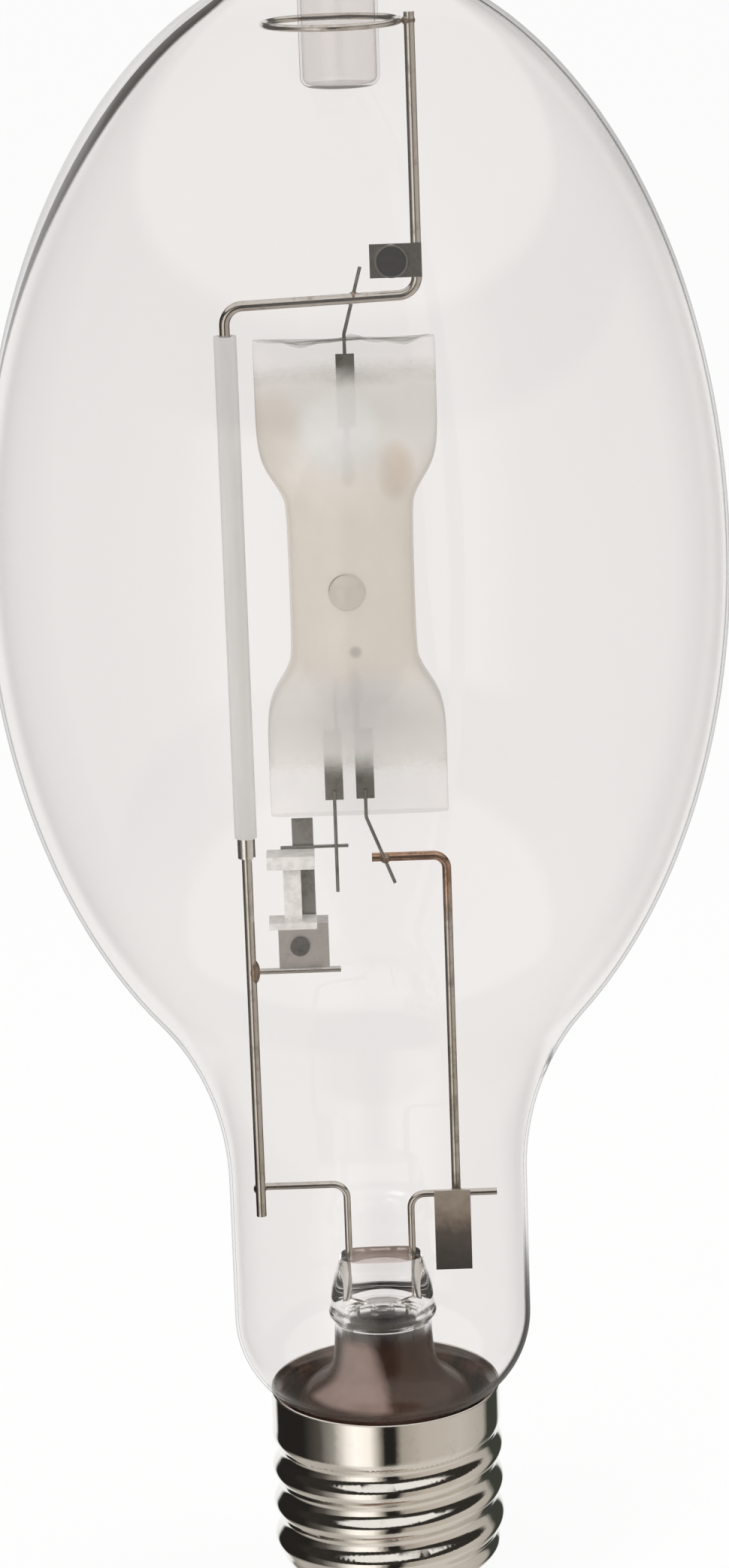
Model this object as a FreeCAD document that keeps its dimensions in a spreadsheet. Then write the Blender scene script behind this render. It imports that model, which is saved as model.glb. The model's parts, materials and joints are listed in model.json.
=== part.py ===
import FreeCAD
import Part
import Sketcher
import math
import os
from FreeCAD import Placement, Rotation, Vector

# High intensity discharge lamp: a clear elliptical bulb with a dimple, on a large screw base.
# Millimetres. +Z runs up the lamp's axis. The origin is the middle of the centre contact's underside.
# +X is to the right and -Y towards the viewer, and the wide faces of the arc tube face the viewer.

# Driving sizes. Heights called _z are measured from the underside of the centre contact.
SIZES = {
    # Bulb glass
    "bulb_radius": 60.3,
    "bulb_centre_z": 183.3,
    "crown_height": 97.4,
    "taper_height": 92.6,
    "neck_radius": 25.0,
    "neck_curve_radius": 47.7,
    "glass_wall": 1.1,
    "shoulder_radius": 16.0,
    "shoulder_above_rim": 13.0,
    "seal_radius": 17.0,
    "seal_curve_radius": 2.5,
    "seal_end_z": 25.0,
    "dimple_radius": 6.3,
    "dimple_depth": 20.5,
    "dimple_corner_radius": 1.6,
    "lip_radius": 4.5,
    # Stem
    "stem_tube_radius": 8.9,
    "stem_wall": 1.2,
    "flare_rim_gap": 0.1,
    "stem_shoulder_z": 52.6,
    "stem_dome_height": 3.6,
    "press_step": 0.3,
    "press_top_z": 64.2,
    "press_half_width": 7.4,
    "press_half_depth": 3.9,
    "exhaust_radius": 2.6,
    "exhaust_wall": 0.9,
    "exhaust_tip_z": 21.0,
    "lead_spacing": 10.7,
    "lead_radius": 0.6,
    "lead_bend_radius": 2.4,
    "seal_clearance": 0.02,
    "left_lead_z": 77.0,
    "right_lead_z": 74.8,
    "right_lead_reach": 19.9,
    "inner_lead_z": 19.5,
    # Wire frame
    "rod_radius": 0.85,
    "rod_bend_radius": 3.0,
    "rod_top_gap": 9.1,
    "rod_right_x": 11.1,
    "rod_left_x": 19.8,
    "cross_above_pinch": 7.1,
    "rod_cross_drop": 1.1,
    "rod_bottom_z": 72.4,
    "ring_below_top": 1.4,
    "ring_wire_radius": 0.55,
    "ring_gap": 0.08,
    "ring_left_x": 12.4,
    "sleeve_radius": 1.85,
    "sleeve_clearance": 0.2,
    "sleeve_past_pinch": 1.4,
    "clip_top_z": 138.4,
    "clip_height": 3.4,
    "clip_wall": 0.6,
    "clip_wrap": 320.0,
    # Getter
    "getter_plate_width": 8.3,
    "getter_plate_height": 5.4,
    "getter_plate_thick": 0.3,
    "getter_above_cross": 5.6,
    "getter_cup_inset": 4.0,
    "getter_cup_radius": 2.65,
    "getter_cup_depth": 0.9,
    "getter_cup_wall": 0.25,
    "getter_fill_depth": 0.45,
    # Arc tube
    "arc_x": -0.9,
    "arc_radius": 10.15,
    "arc_wall": 1.2,
    "arc_centre_z": 181.0,
    "arc_body_half": 13.0,
    "arc_dome_start": 2.0,
    "arc_dome_height": 11.8,
    "pinch_half_width": 14.6,
    "pinch_half_depth": 1.9,
    "upper_pinch_z": 220.0,
    "lower_pinch_z": 141.6,
    "nub_radius": 3.0,
    "nub_proud": 2.0,
    "nub_z": 176.6,
    # Seals and electrodes of the arc tube
    "foil_width": 3.0,
    "foil_thick": 0.12,
    "foil_length": 12.0,
    "upper_foil_x": -0.8,
    "lower_foil_x": 0.1,
    "starter_foil_x": -5.0,
    "foil_inset": 2.2,
    "foil_lap": 1.6,
    "shank_radius": 0.5,
    "arc_gap_half": 15.2,
    "coil_radius": 1.15,
    "coil_turns": 5,
    "coil_pitch": 0.95,
    "coil_back": 0.7,
    "pin_radius": 0.3,
    "pin_offset": 3.4,
    "pin_reach": 22.4,
    "fine_lead_radius": 0.28,
    "fine_bend_radius": 1.2,
    "lead_clear_of_pinch": 0.9,
    "upper_lead_rise": 4.5,
    "upper_lead_slant": 2.9,
    "starter_lead_bottom_z": 128.2,
    "lower_lead_bottom_z": 129.3,
    "lower_lead_slant": 4.4,
    # Return rod and flag
    "return_radius": 0.75,
    "return_x": 13.1,
    "return_cross_z": 133.5,
    "return_bend_radius": 2.2,
    "return_left_x": 0.8,
    "return_below_lead": 1.6,
    "flag_left": 3.8,
    "flag_width": 6.1,
    "flag_height": 14.0,
    "flag_thick": 0.3,
    # Starting switch
    "switch_wire_radius": 0.5,
    "switch_wire_z": 115.3,
    "switch_wire_reach": 14.0,
    "bracket_left_x": 15.1,
    "bracket_width": 8.3,
    "bracket_height": 8.4,
    "bracket_thick": 0.4,
    "bracket_wing": 4.6,
    "rivet_radius": 1.6,
    "rivet_shank": 0.8,
    "rivet_tail": 1.2,
    "rivet_head": 0.5,
    "rivet_x": 11.6,
    "rivet_rise": 4.0,
    "spool_width": 7.9,
    "spool_left_x": 16.5,
    "spool_depth": 5.0,
    "spool_plate": 1.1,
    "spool_cap": 2.2,
    "spool_height": 12.4,
    "spool_core_width": 2.9,
    "spool_core_x": 13.9,
    "spool_core_depth": 2.6,
    "spool_core_inset": 1.4,
    "strip_width": 3.5,
    "strip_x": 10.5,
    "strip_thick": 0.3,
    "strip_top_z": 140.7,
    "strip_clearance": 0.15,
    "strip_spool_gap": 0.3,
    "strip_front_y": 0.9,
    "contact_wire_left_x": 14.2,
    "contact_wire_past": 2.0,
    "touch_gap": 0.02,
    # Screw base
    "base_height": 41.0,
    "skirt_height": 6.6,
    "skirt_radius": 19.45,
    "thread_radius": 19.7,
    "thread_depth": 1.3,
    "thread_pitch": 6.35,
    "thread_phase_z": 30.0,
    "thread_bottom_z": 14.0,
    "thread_fade": 2.6,
    "shell_wall": 0.35,
    "shell_lip_radius": 14.6,
    "shell_lip_height": 1.0,
    "shell_bottom_z": 8.2,
    "shell_shoulder": 4.8,
    "cement_below_rim": 0.7,
    "cement_bottom_z": 24.0,
    "cement_gap": 0.05,
    "cement_step": 0.9,
    "insulator_gap": 0.05,
    "insulator_step": 1.6,
    "insulator_flange": 0.35,
    "insulator_top_z": 12.6,
    "insulator_tip_radius": 9.6,
    "insulator_bottom_z": 2.2,
    "contact_radius": 7.0,
    "contact_thick": 1.4,
    "contact_bevel": 0.6,
    "eyelet_radius": 1.7,
    "solder_inset": 0.2,
}

doc = FreeCAD.newDocument("discharge_lamp")
sheet = doc.addObject("Spreadsheet::Sheet", "Sizes")
for row, (alias, number) in enumerate(SIZES.items(), start=1):
    sheet.set("A%d" % row, alias)
    sheet.set("B%d" % row, str(number))
    sheet.setAlias("B%d" % row, alias)
doc.recompute()
size = {alias: float(sheet.get(alias)) for alias in SIZES}
parts = []

# Sums on the sheet that several pieces share
SHOULDER_Z = "base_height + shoulder_above_rim"
THREAD_TOP = "base_height - skirt_height"
CEMENT_TOP = "base_height - cement_below_rim"
CROWN_TOP = "bulb_centre_z + crown_height"
ROD_TOP = CROWN_TOP + " - rod_top_gap"
ROD_CROSS = "upper_pinch_z + cross_above_pinch"
FRAME_DEPTH = "0 - rod_radius - lead_radius"
BRACKET_FRONT = FRAME_DEPTH + " + switch_wire_radius"
BRACKET_FOOT = "switch_wire_z - switch_wire_radius"
SHELF_TOP = BRACKET_FOOT + " + bracket_height"


# Pieces and sketches bound to the sheet


def amount(sum_text):
    """Value of a sum such as 'neck_radius - glass_wall', read from the sheet."""
    total = 0.0
    sign = 1.0
    for word in sum_text.split():
        if word == "+":
            sign = 1.0
        elif word == "-":
            sign = -1.0
        elif word in size:
            total += sign * size[word]
            sign = 1.0
        else:
            total += sign * float(word)
            sign = 1.0
    return total


def formula(sum_text):
    """The same sum as an expression on the sheet."""
    words = []
    for word in sum_text.split():
        words.append("Sizes." + word if word in size else word)
    return " ".join(words)


def keep(piece):
    """Lists a finished piece for export."""
    parts.append(piece)
    return piece


def solid_piece(label, shape):
    """A piece whose shape is worked out here from the sheet."""
    piece = doc.addObject("Part::Feature", label)
    piece.Label = label
    piece.Shape = shape
    return keep(piece)


def origin_plane(body, role):
    """One of the body's own origin planes."""
    return [item for item in body.Origin.OriginFeatures if item.Role == role][0]


def new_body(label):
    body = doc.addObject("PartDesign::Body", label)
    body.Label = label
    return body


def new_sketch(body, name, role):
    sketch = body.newObject("Sketcher::SketchObject", name)
    sketch.AttachmentSupport = [(origin_plane(body, role), "")]
    sketch.MapMode = "FlatFace"
    return sketch


def bind_corner(sketch, geometry, end, across, up):
    """Holds one corner of a sketch at two sums on the sheet."""
    for kind, axis, text in (("DistanceX", -2, across), ("DistanceY", -1, up)):
        if text == "0":
            sketch.addConstraint(Sketcher.Constraint("PointOnObject", geometry, end, axis))
        else:
            index = sketch.addConstraint(Sketcher.Constraint(kind, -1, 1, geometry, end, amount(text)))
            sketch.setExpression("Constraints[%d]" % index, formula(text))


def draw_outline(sketch, corners):
    """A closed outline of straight lines. Each corner is a pair of sums on the sheet."""
    points = [Vector(amount(across), amount(up), 0) for across, up in corners]
    count = len(points)
    for index in range(count):
        sketch.addGeometry(Part.LineSegment(points[index], points[(index + 1) % count]))
    for index in range(count):
        after = (index + 1) % count
        sketch.addConstraint(Sketcher.Constraint("Coincident", index, 2, after, 1))
    for index, (across, up) in enumerate(corners):
        bind_corner(sketch, index, 1, across, up)


def turned(label, corners, angle=360.0):
    """A body turned about its own Z axis from an outline of radius and height."""
    body = new_body(label)
    sketch = new_sketch(body, label + "_profile", "XZ_Plane")
    draw_outline(sketch, corners)
    turn = body.newObject("PartDesign::Revolution", label + "_turn")
    turn.Profile = sketch
    turn.ReferenceAxis = (sketch, ["V_Axis"])
    turn.Angle = angle
    return body


def cylinder(label, radius, height):
    """A plain round bar bound to the sheet."""
    bar = doc.addObject("Part::Cylinder", label)
    bar.Label = label
    bar.setExpression("Radius", formula(radius))
    bar.setExpression("Height", formula(height))
    return bar


def block(label, length, width, height):
    """A plain plate or block bound to the sheet."""
    plate = doc.addObject("Part::Box", label)
    plate.Label = label
    plate.setExpression("Length", formula(length))
    plate.setExpression("Width", formula(width))
    plate.setExpression("Height", formula(height))
    return plate


def place(piece, across, depth, up):
    """Moves a piece to a place given as three sums on the sheet."""
    for axis, text in (("x", across), ("y", depth), ("z", up)):
        piece.setExpression("Placement.Base." + axis, formula(text))
    return piece


def bent_bar(points, radius, bend):
    """A round bar along straight runs joined by tangent arcs."""
    edges = []
    start = points[0]
    for index in range(1, len(points) - 1):
        corner = points[index]
        back = (points[index - 1] - corner).normalize()
        ahead = (points[index + 1] - corner).normalize()
        half_turn = math.pi / 2 - back.getAngle(ahead) / 2
        cut = bend * math.tan(half_turn)
        entry = corner + back * cut
        leave = corner + ahead * cut
        middle = (back + ahead).normalize()
        crown = corner + middle * (bend / math.cos(half_turn) - bend)
        edges.append(Part.LineSegment(start, entry).toShape())
        edges.append(Part.Arc(entry, crown, leave).toShape())
        start = leave
    edges.append(Part.LineSegment(start, points[-1]).toShape())
    path = Part.Wire(edges)
    ring = Part.Wire([Part.makeCircle(radius, points[0], points[1] - points[0])])
    return path.makePipeShell([ring], True, False)


def wire_piece(label, points, radius, bend):
    return solid_piece(label, bent_bar(points, radius, bend))


# Smooth skins: a grid of rings, closed round and open at both ends

RING_POLES = 24
SHELL_POLES = 16
POLES_PER_PITCH = 6
FLAT_EDGE = 1e-6


def pole_reach(count):
    """How much further out the poles of a round ring stand than the curve that they draw."""
    return 3 / (2 + math.cos(2 * math.pi / count))


def skin(rings):
    """A smooth face over a stack of closed rings of poles."""
    along = len(rings)
    around = len(rings[0])
    poles = [[rings[row][column] for row in range(along)] for column in range(around)]
    surface = Part.BSplineSurface()
    surface.buildFromPolesMultsKnots(
        poles,
        [1] * (around + 1),
        [4] + [1] * (along - 4) + [4],
        list(range(around + 1)),
        list(range(along - 2)),
        True,
        False,
        3,
        3,
    )
    return surface.toShape()


def end_edges(face):
    """The lower and the upper closed edge of a skin."""
    level = [edge for edge in face.Edges if edge.BoundBox.ZLength < FLAT_EDGE]
    level.sort(key=lambda edge: edge.BoundBox.ZMin)
    return level[0], level[-1]


def ring_face(outer_edge, inner_edge):
    """The flat ring between two closed edges of one height."""
    return Part.makeFace([Part.Wire([outer_edge]), Part.Wire([inner_edge])], "Part::FaceMakerBullseye")


def closed_solid(faces):
    """Sews faces that share their edges into one solid."""
    hull = Part.Compound(faces)
    hull.sewShape()
    return Part.Solid(hull.Shells[0])


def filled_skin(rings):
    """A solid bounded by one skin and two flat ends."""
    side = skin(rings)
    low, high = end_edges(side)
    ends = [Part.Face(Part.Wire([low])), Part.Face(Part.Wire([high]))]
    return closed_solid([side] + ends)


def superellipse(centre_x, height, half_width, half_depth, power):
    """A ring between an ellipse (power 2) and a rounded rectangle (power 5)."""
    ring = []
    for index in range(RING_POLES):
        angle = 2 * math.pi * index / RING_POLES
        across = math.cos(angle)
        depth = math.sin(angle)
        reach = (abs(across) ** power + abs(depth) ** power) ** (-1 / power) * pole_reach(RING_POLES)
        ring.append(Vector(centre_x + half_width * reach * across, half_depth * reach * depth, height))
    return ring


# Bulb

HALVINGS = 60
NEAR_EQUATOR = 0.05


def ellipse_point(long_radius, short_radius, centre_z, angle):
    return short_radius * math.cos(angle), centre_z + long_radius * math.sin(angle)


def ellipse_normal(long_radius, short_radius, angle):
    across = math.cos(angle) / short_radius
    up = math.sin(angle) / long_radius
    length = math.hypot(across, up)
    return across / length, up / length


def touching_angle(long_radius, short_radius, centre_z, offset, wanted_radius, low, high):
    """Angle on the ellipse whose point, moved by offset along its normal, has the wanted radius."""
    for _ in range(HALVINGS):
        middle = (low + high) / 2
        radius = ellipse_point(long_radius, short_radius, centre_z, middle)[0]
        radius += offset * ellipse_normal(long_radius, short_radius, middle)[0]
        if radius > wanted_radius:
            low, high = (low, middle) if abs(low) > abs(high) else (middle, high)
        else:
            low, high = (middle, high) if abs(low) > abs(high) else (low, middle)
    return (low + high) / 2


def moved_point(long_radius, short_radius, centre_z, angle, offset):
    radius, height = ellipse_point(long_radius, short_radius, centre_z, angle)
    across, up = ellipse_normal(long_radius, short_radius, angle)
    return radius + offset * across, height + offset * up


def arc_geometry(centre, radius, start_angle, end_angle):
    circle = Part.Circle(Vector(centre[0], centre[1], 0), Vector(0, 0, 1), radius)
    return Part.ArcOfCircle(circle, start_angle, end_angle)


def ellipse_geometry(long_radius, short_radius, centre_z, start_angle, end_angle):
    """Part of an upright ellipse, by the angle from its own equator."""
    centre = Vector(0, centre_z, 0)
    top = Vector(0, centre_z + long_radius, 0)
    side = Vector(-short_radius, centre_z, 0)
    ellipse = Part.Ellipse(top, side, centre)
    quarter = math.pi / 2
    return Part.ArcOfEllipse(ellipse, start_angle - quarter, end_angle - quarter)


def bulb_wall(inset):
    """One face of the bulb's wall, from the sealed end to the axis, inset from the outer face."""
    quarter = math.pi / 2
    waist = size["bulb_radius"] - inset
    crown = size["crown_height"] - inset
    taper = size["taper_height"] - inset
    neck = size["neck_radius"] - inset
    seal = size["seal_radius"] - inset
    centre_z = size["bulb_centre_z"]
    # Rounded shoulder between the neck and the sealed end
    shoulder = size["shoulder_radius"] - inset
    shoulder_z = amount(SHOULDER_Z)
    shoulder_centre = (size["neck_radius"] - size["shoulder_radius"], shoulder_z)
    curve = size["seal_curve_radius"] + inset
    curve_x = size["seal_radius"] + size["seal_curve_radius"]
    reach = size["shoulder_radius"] + size["seal_curve_radius"]
    drop = math.sqrt(reach ** 2 - (curve_x - shoulder_centre[0]) ** 2)
    curve_centre = (curve_x, shoulder_z - drop)
    lean = math.atan2(-drop, curve_x - shoulder_centre[0])
    # Hollow curve between the neck and the lower half
    hollow = size["neck_curve_radius"] + inset
    hollow_x = size["neck_radius"] + size["neck_curve_radius"]
    low_angle = touching_angle(taper, waist, centre_z, hollow, hollow_x, -quarter, -NEAR_EQUATOR)
    hollow_centre = moved_point(taper, waist, centre_z, low_angle, hollow)
    low_point = ellipse_point(taper, waist, centre_z, low_angle)
    hollow_angle = math.atan2(low_point[1] - hollow_centre[1], low_point[0] - hollow_centre[0])
    # Lip and wall of the dimple
    tube = size["dimple_radius"] - size["glass_wall"] + inset
    lip = size["lip_radius"] - inset
    high_angle = touching_angle(crown, waist, centre_z, -lip, tube + lip, NEAR_EQUATOR, quarter)
    lip_centre = moved_point(crown, waist, centre_z, high_angle, -lip)
    high_point = ellipse_point(crown, waist, centre_z, high_angle)
    lip_angle = math.atan2(high_point[1] - lip_centre[1], high_point[0] - lip_centre[0])
    bottom = amount(CROWN_TOP + " - dimple_depth + glass_wall") - inset
    corner = size["dimple_corner_radius"] - size["glass_wall"] + inset
    corner_centre = (tube - corner, bottom + corner)
    turns = [
        Part.LineSegment(Vector(seal, size["seal_end_z"], 0), Vector(seal, curve_centre[1], 0)),
        arc_geometry(curve_centre, curve, lean + math.pi, math.pi),
        arc_geometry(shoulder_centre, shoulder, lean, 0),
        Part.LineSegment(Vector(neck, shoulder_z, 0), Vector(neck, hollow_centre[1], 0)),
        arc_geometry(hollow_centre, hollow, hollow_angle, math.pi),
        ellipse_geometry(taper, waist, centre_z, low_angle, 0),
        ellipse_geometry(crown, waist, centre_z, 0, high_angle),
        arc_geometry(lip_centre, lip, lip_angle, math.pi),
        Part.LineSegment(Vector(tube, lip_centre[1], 0), Vector(tube, corner_centre[1], 0)),
        arc_geometry(corner_centre, corner, -quarter, 0),
        Part.LineSegment(Vector(corner_centre[0], bottom, 0), Vector(0, bottom, 0)),
    ]
    return turns, (seal, size["seal_end_z"]), bottom


def make_bulb():
    """Blown glass bulb with its dimple, turned in one piece."""
    body = new_body("glass_envelope")
    sketch = new_sketch(body, "bulb_profile", "XZ_Plane")
    outside, outer_end, outer_bottom = bulb_wall(0.0)
    inside, inner_end, inner_bottom = bulb_wall(size["glass_wall"])
    rim = Part.LineSegment(Vector(outer_end[0], outer_end[1], 0), Vector(inner_end[0], inner_end[1], 0))
    middle = Part.LineSegment(Vector(0, outer_bottom, 0), Vector(0, inner_bottom, 0))
    sketch.addGeometry(outside + inside + [rim, middle])
    turn = body.newObject("PartDesign::Revolution", "bulb_turn")
    turn.Profile = sketch
    turn.ReferenceAxis = (sketch, ["V_Axis"])
    turn.Angle = 360.0
    keep(body)


# Stem

DIAGONAL = math.sqrt(0.5)

# Ring after ring from the round tube to the flat press: share of the rise, share of the way from the tube's
# half width and half depth to the press's, and squareness
STEM_FORM = [
    (-0.10, 0.0, 0.0, 2.0),
    (0.03, 0.0, 0.0, 2.0),
    (0.12, 0.05, 0.03, 2.0),
    (0.25, 0.05, 0.20, 2.1),
    (0.42, 0.63, 0.64, 2.6),
    (0.58, 1.0, 0.93, 3.4),
    (0.75, 1.0, 1.0, 4.0),
    (0.93, 1.0, 1.0, 4.2),
    (1.0, 1.15, 1.06, 4.2),
]


def between(first, second, share):
    return first + (second - first) * share


def lead_x(side):
    return side * size["lead_spacing"] / 2


def stem_leads():
    """The two stiff leads, from the frame down through the press into the base."""
    below = size["inner_lead_z"]
    left_top = size["left_lead_z"]
    right_top = size["right_lead_z"]
    wall_touch = size["thread_radius"] - size["thread_depth"] - size["shell_wall"] - size["lead_radius"]
    back = math.sqrt(wall_touch ** 2 - lead_x(-1) ** 2)
    left_end = size["rod_left_x"] + size["rod_radius"]
    left = [
        Vector(-left_end, 0, left_top),
        Vector(lead_x(-1), 0, left_top),
        Vector(lead_x(-1), 0, below),
        Vector(lead_x(-1), back, below),
    ]
    floor = size["insulator_top_z"] + 2 * size["lead_bend_radius"]
    right = [
        Vector(size["right_lead_reach"], 0, right_top),
        Vector(lead_x(1), 0, right_top),
        Vector(lead_x(1), 0, below + size["lead_bend_radius"]),
        Vector(0, 0, floor - size["lead_bend_radius"]),
        Vector(0, 0, size["contact_thick"]),
    ]
    return left, right


def make_stem():
    """Flare, tube, press and exhaust tube: one piece of glass, with the leads through the press."""
    tube = size["stem_tube_radius"]
    wall = size["stem_wall"]
    rim = size["seal_radius"] - size["glass_wall"] - size["flare_rim_gap"]
    flare = rim - tube
    flare_z = size["seal_end_z"] + wall + flare
    shoulder = size["stem_shoulder_z"]
    dome = size["stem_dome_height"]
    inner = tube - wall
    corners = [
        Vector(0, 0, shoulder),
        Vector(tube, 0, shoulder),
        Vector(tube, 0, flare_z),
        Vector(rim, 0, flare_z - flare),
        Vector(rim, 0, flare_z - flare - wall),
        Vector(inner, 0, flare_z),
        Vector(0, 0, flare_z),
    ]
    upper_crown = Vector(rim - flare * DIAGONAL, 0, flare_z - flare * DIAGONAL)
    lower_crown = Vector(rim - (flare + wall) * DIAGONAL, 0, flare_z - (flare + wall) * DIAGONAL)
    outline = Part.Wire(
        [
            Part.LineSegment(corners[0], corners[1]).toShape(),
            Part.LineSegment(corners[1], corners[2]).toShape(),
            Part.Arc(corners[2], upper_crown, corners[3]).toShape(),
            Part.LineSegment(corners[3], corners[4]).toShape(),
            Part.Arc(corners[4], lower_crown, corners[5]).toShape(),
            Part.LineSegment(corners[5], corners[6]).toShape(),
            Part.LineSegment(corners[6], corners[0]).toShape(),
        ]
    )
    glass = Part.Face(outline).revolve(Vector(0, 0, 0), Vector(0, 0, 1), 360)
    top = size["press_top_z"]
    half_width = size["press_half_width"]
    half_depth = size["press_half_depth"]
    rise = top - shoulder
    root = tube - size["press_step"]
    rings = []
    for part, width_share, depth_share, power in STEM_FORM:
        wide = between(root, half_width, width_share)
        deep = between(root, half_depth, depth_share)
        rings.append(superellipse(0, shoulder + rise * part, wide, deep, power))
    glass = glass.fuse(filled_skin(rings))
    hollow = Part.makeCylinder(inner, shoulder - flare_z, Vector(0, 0, flare_z))
    arch = Part.makeSphere(1.0)
    stretch = FreeCAD.Matrix()
    stretch.scale(inner, inner, dome)
    arch = arch.transformGeometry(stretch)
    arch.translate(Vector(0, 0, shoulder))
    glass = glass.cut(hollow.fuse(arch))
    # Exhaust tube, sealed at its lower tip
    bore = size["exhaust_radius"] - size["exhaust_wall"]
    length = shoulder + dome - size["exhaust_tip_z"]
    pipe = Part.makeCylinder(size["exhaust_radius"], length, Vector(0, 0, size["exhaust_tip_z"]))
    pipe = pipe.fuse(Part.makeSphere(size["exhaust_radius"], Vector(0, 0, size["exhaust_tip_z"])))
    pipe = pipe.cut(Part.makeCylinder(bore, length, Vector(0, 0, size["exhaust_tip_z"])))
    glass = glass.fuse(pipe)
    for points in stem_leads():
        start = points[1]
        hole = size["lead_radius"] + size["seal_clearance"]
        glass = glass.cut(Part.makeCylinder(hole, start.z - flare_z, Vector(start.x, 0, flare_z)))
    solid_piece("stem_glass", glass)


def make_stem_leads():
    left, right = stem_leads()
    wire_piece("left_stem_lead", left, size["lead_radius"], size["lead_bend_radius"])
    wire_piece("right_stem_lead", right, size["lead_radius"], size["lead_bend_radius"])


# Wire frame


def frame_y():
    """The frame rod lies against the front of the left stem lead."""
    return -(size["rod_radius"] + size["lead_radius"])


def make_frame():
    """Frame rod bent from one length, with the ring at its top, the sleeve and the clip on its long side."""
    y = frame_y()
    right = size["rod_right_x"]
    left = -size["rod_left_x"]
    cross = amount(ROD_CROSS)
    drop = size["rod_cross_drop"]
    points = [
        Vector(right, y, amount(ROD_TOP)),
        Vector(right, y, cross),
        Vector(left, y, cross - drop),
        Vector(left, y, size["rod_bottom_z"]),
    ]
    wire_piece("frame_rod", points, size["rod_radius"], size["rod_bend_radius"])
    ring = doc.addObject("Part::Torus", "dimple_ring")
    ring.Label = "dimple_ring"
    outer_right = "(Sizes.rod_right_x - Sizes.rod_radius - Sizes.ring_gap)"
    ring.setExpression("Radius1", "(Sizes.ring_left_x + %s) / 2 - Sizes.ring_wire_radius" % outer_right)
    ring.setExpression("Radius2", "Sizes.ring_wire_radius")
    ring.setExpression("Placement.Base.x", "(%s - Sizes.ring_left_x) / 2" % outer_right)
    ring.setExpression("Placement.Base.z", formula(ROD_TOP + " - ring_below_top"))
    keep(ring)
    inner = "rod_radius + sleeve_clearance"
    sleeve = turned(
        "frame_sleeve",
        [
            (inner, "clip_top_z + touch_gap"),
            ("sleeve_radius", "clip_top_z + touch_gap"),
            ("sleeve_radius", "upper_pinch_z + sleeve_past_pinch"),
            (inner, "upper_pinch_z + sleeve_past_pinch"),
        ],
    )
    keep(place(sleeve, "0 - rod_left_x", FRAME_DEPTH, "0"))
    grip = "rod_radius + touch_gap"
    clip = turned(
        "sleeve_clip",
        [
            (grip, "clip_top_z - clip_height"),
            (grip + " + clip_wall", "clip_top_z - clip_height"),
            (grip + " + clip_wall", "clip_top_z"),
            (grip, "clip_top_z"),
        ],
        size["clip_wrap"],
    )
    keep(place(clip, "0 - rod_left_x", FRAME_DEPTH, "0"))


def make_getter():
    """Square holder on the frame rod with the round getter cup and its dark fill."""
    plate = block("getter_plate", "getter_plate_width", "getter_plate_thick", "getter_plate_height")
    front = FRAME_DEPTH + " - rod_radius - getter_plate_thick"
    middle = ROD_CROSS + " + getter_above_cross"
    place(plate, "rod_right_x + rod_radius - getter_plate_width", front, middle)
    plate.setExpression("Placement.Base.z", formula(middle) + " - Sizes.getter_plate_height / 2")
    keep(plate)
    inner = "getter_cup_radius - getter_cup_wall"
    cup = turned(
        "getter_cup",
        [
            ("0", "0"),
            ("getter_cup_radius", "0"),
            ("getter_cup_radius", "getter_cup_depth"),
            (inner, "getter_cup_depth"),
            (inner, "getter_cup_wall"),
            ("0", "getter_cup_wall"),
        ],
    )
    fill = turned(
        "getter_fill",
        [
            ("0", "getter_cup_wall"),
            (inner + " - touch_gap", "getter_cup_wall"),
            (inner + " - touch_gap", "getter_cup_wall + getter_fill_depth"),
            ("0", "getter_cup_wall + getter_fill_depth"),
        ],
    )
    for piece in (cup, fill):
        piece.Placement = Placement(Vector(0, 0, 0), Rotation(Vector(1, 0, 0), 90))
        keep(place(piece, "rod_right_x - getter_cup_inset", front, middle))


# Arc tube


# Rings from the round body to the flat pinch: rise above the body in millimetres, share of the way from the
# body's half width and half depth to the pinch's, and squareness
PINCH_FORM = [
    (-2.0, 0.0, 0.0, 2.0),
    (0.6, 0.07, 0.02, 2.0),
    (3.0, 0.39, 0.12, 2.1),
    (5.6, 0.77, 0.30, 2.3),
    (8.6, 0.95, 0.54, 2.7),
    (12.0, 1.0, 0.83, 3.4),
    (16.0, 1.0, 0.97, 4.2),
    (21.0, 1.0, 1.0, 4.6),
]
# The cut edge of a pinch: the same squareness over its last half millimetre, and a slight rounding
EDGE_SQUARENESS = 4.6
EDGE_STEP = 0.5
EDGE_WIDTH_SHARE = 0.985
EDGE_DEPTH_SHARE = 1.02
DOME_STEPS = 8


def pinch_ring(height, width_share, depth_share, power):
    wide = between(size["arc_radius"], size["pinch_half_width"], width_share)
    deep = between(size["arc_radius"], size["pinch_half_depth"], depth_share)
    return superellipse(size["arc_x"], height, wide, deep, power)


def arc_ends():
    low_end = size["arc_centre_z"] - size["arc_body_half"]
    high_end = size["arc_centre_z"] + size["arc_body_half"]
    return low_end, high_end


def foil_boxes():
    """The three sealed foils: name, left edge, front, foot."""
    half = size["foil_width"] / 2
    length = size["foil_length"]
    inset = size["foil_inset"]
    foot = size["lower_pinch_z"] + inset
    head = size["upper_pinch_z"] - inset
    upper_back = -size["lead_radius"]
    lower_front = size["lead_radius"]
    starter_front = starter_y() + size["fine_lead_radius"]
    return {
        "upper_foil": Vector(size["upper_foil_x"] - half, upper_back - size["foil_thick"], head - length),
        "lower_foil": Vector(size["lower_foil_x"] - half, lower_front, foot),
        "starter_foil": Vector(size["starter_foil_x"] - half, starter_front, foot),
    }


def contact_y():
    """The contact wire touches the front of the strip."""
    return size["strip_front_y"] - size["touch_gap"] - size["fine_lead_radius"]


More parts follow.
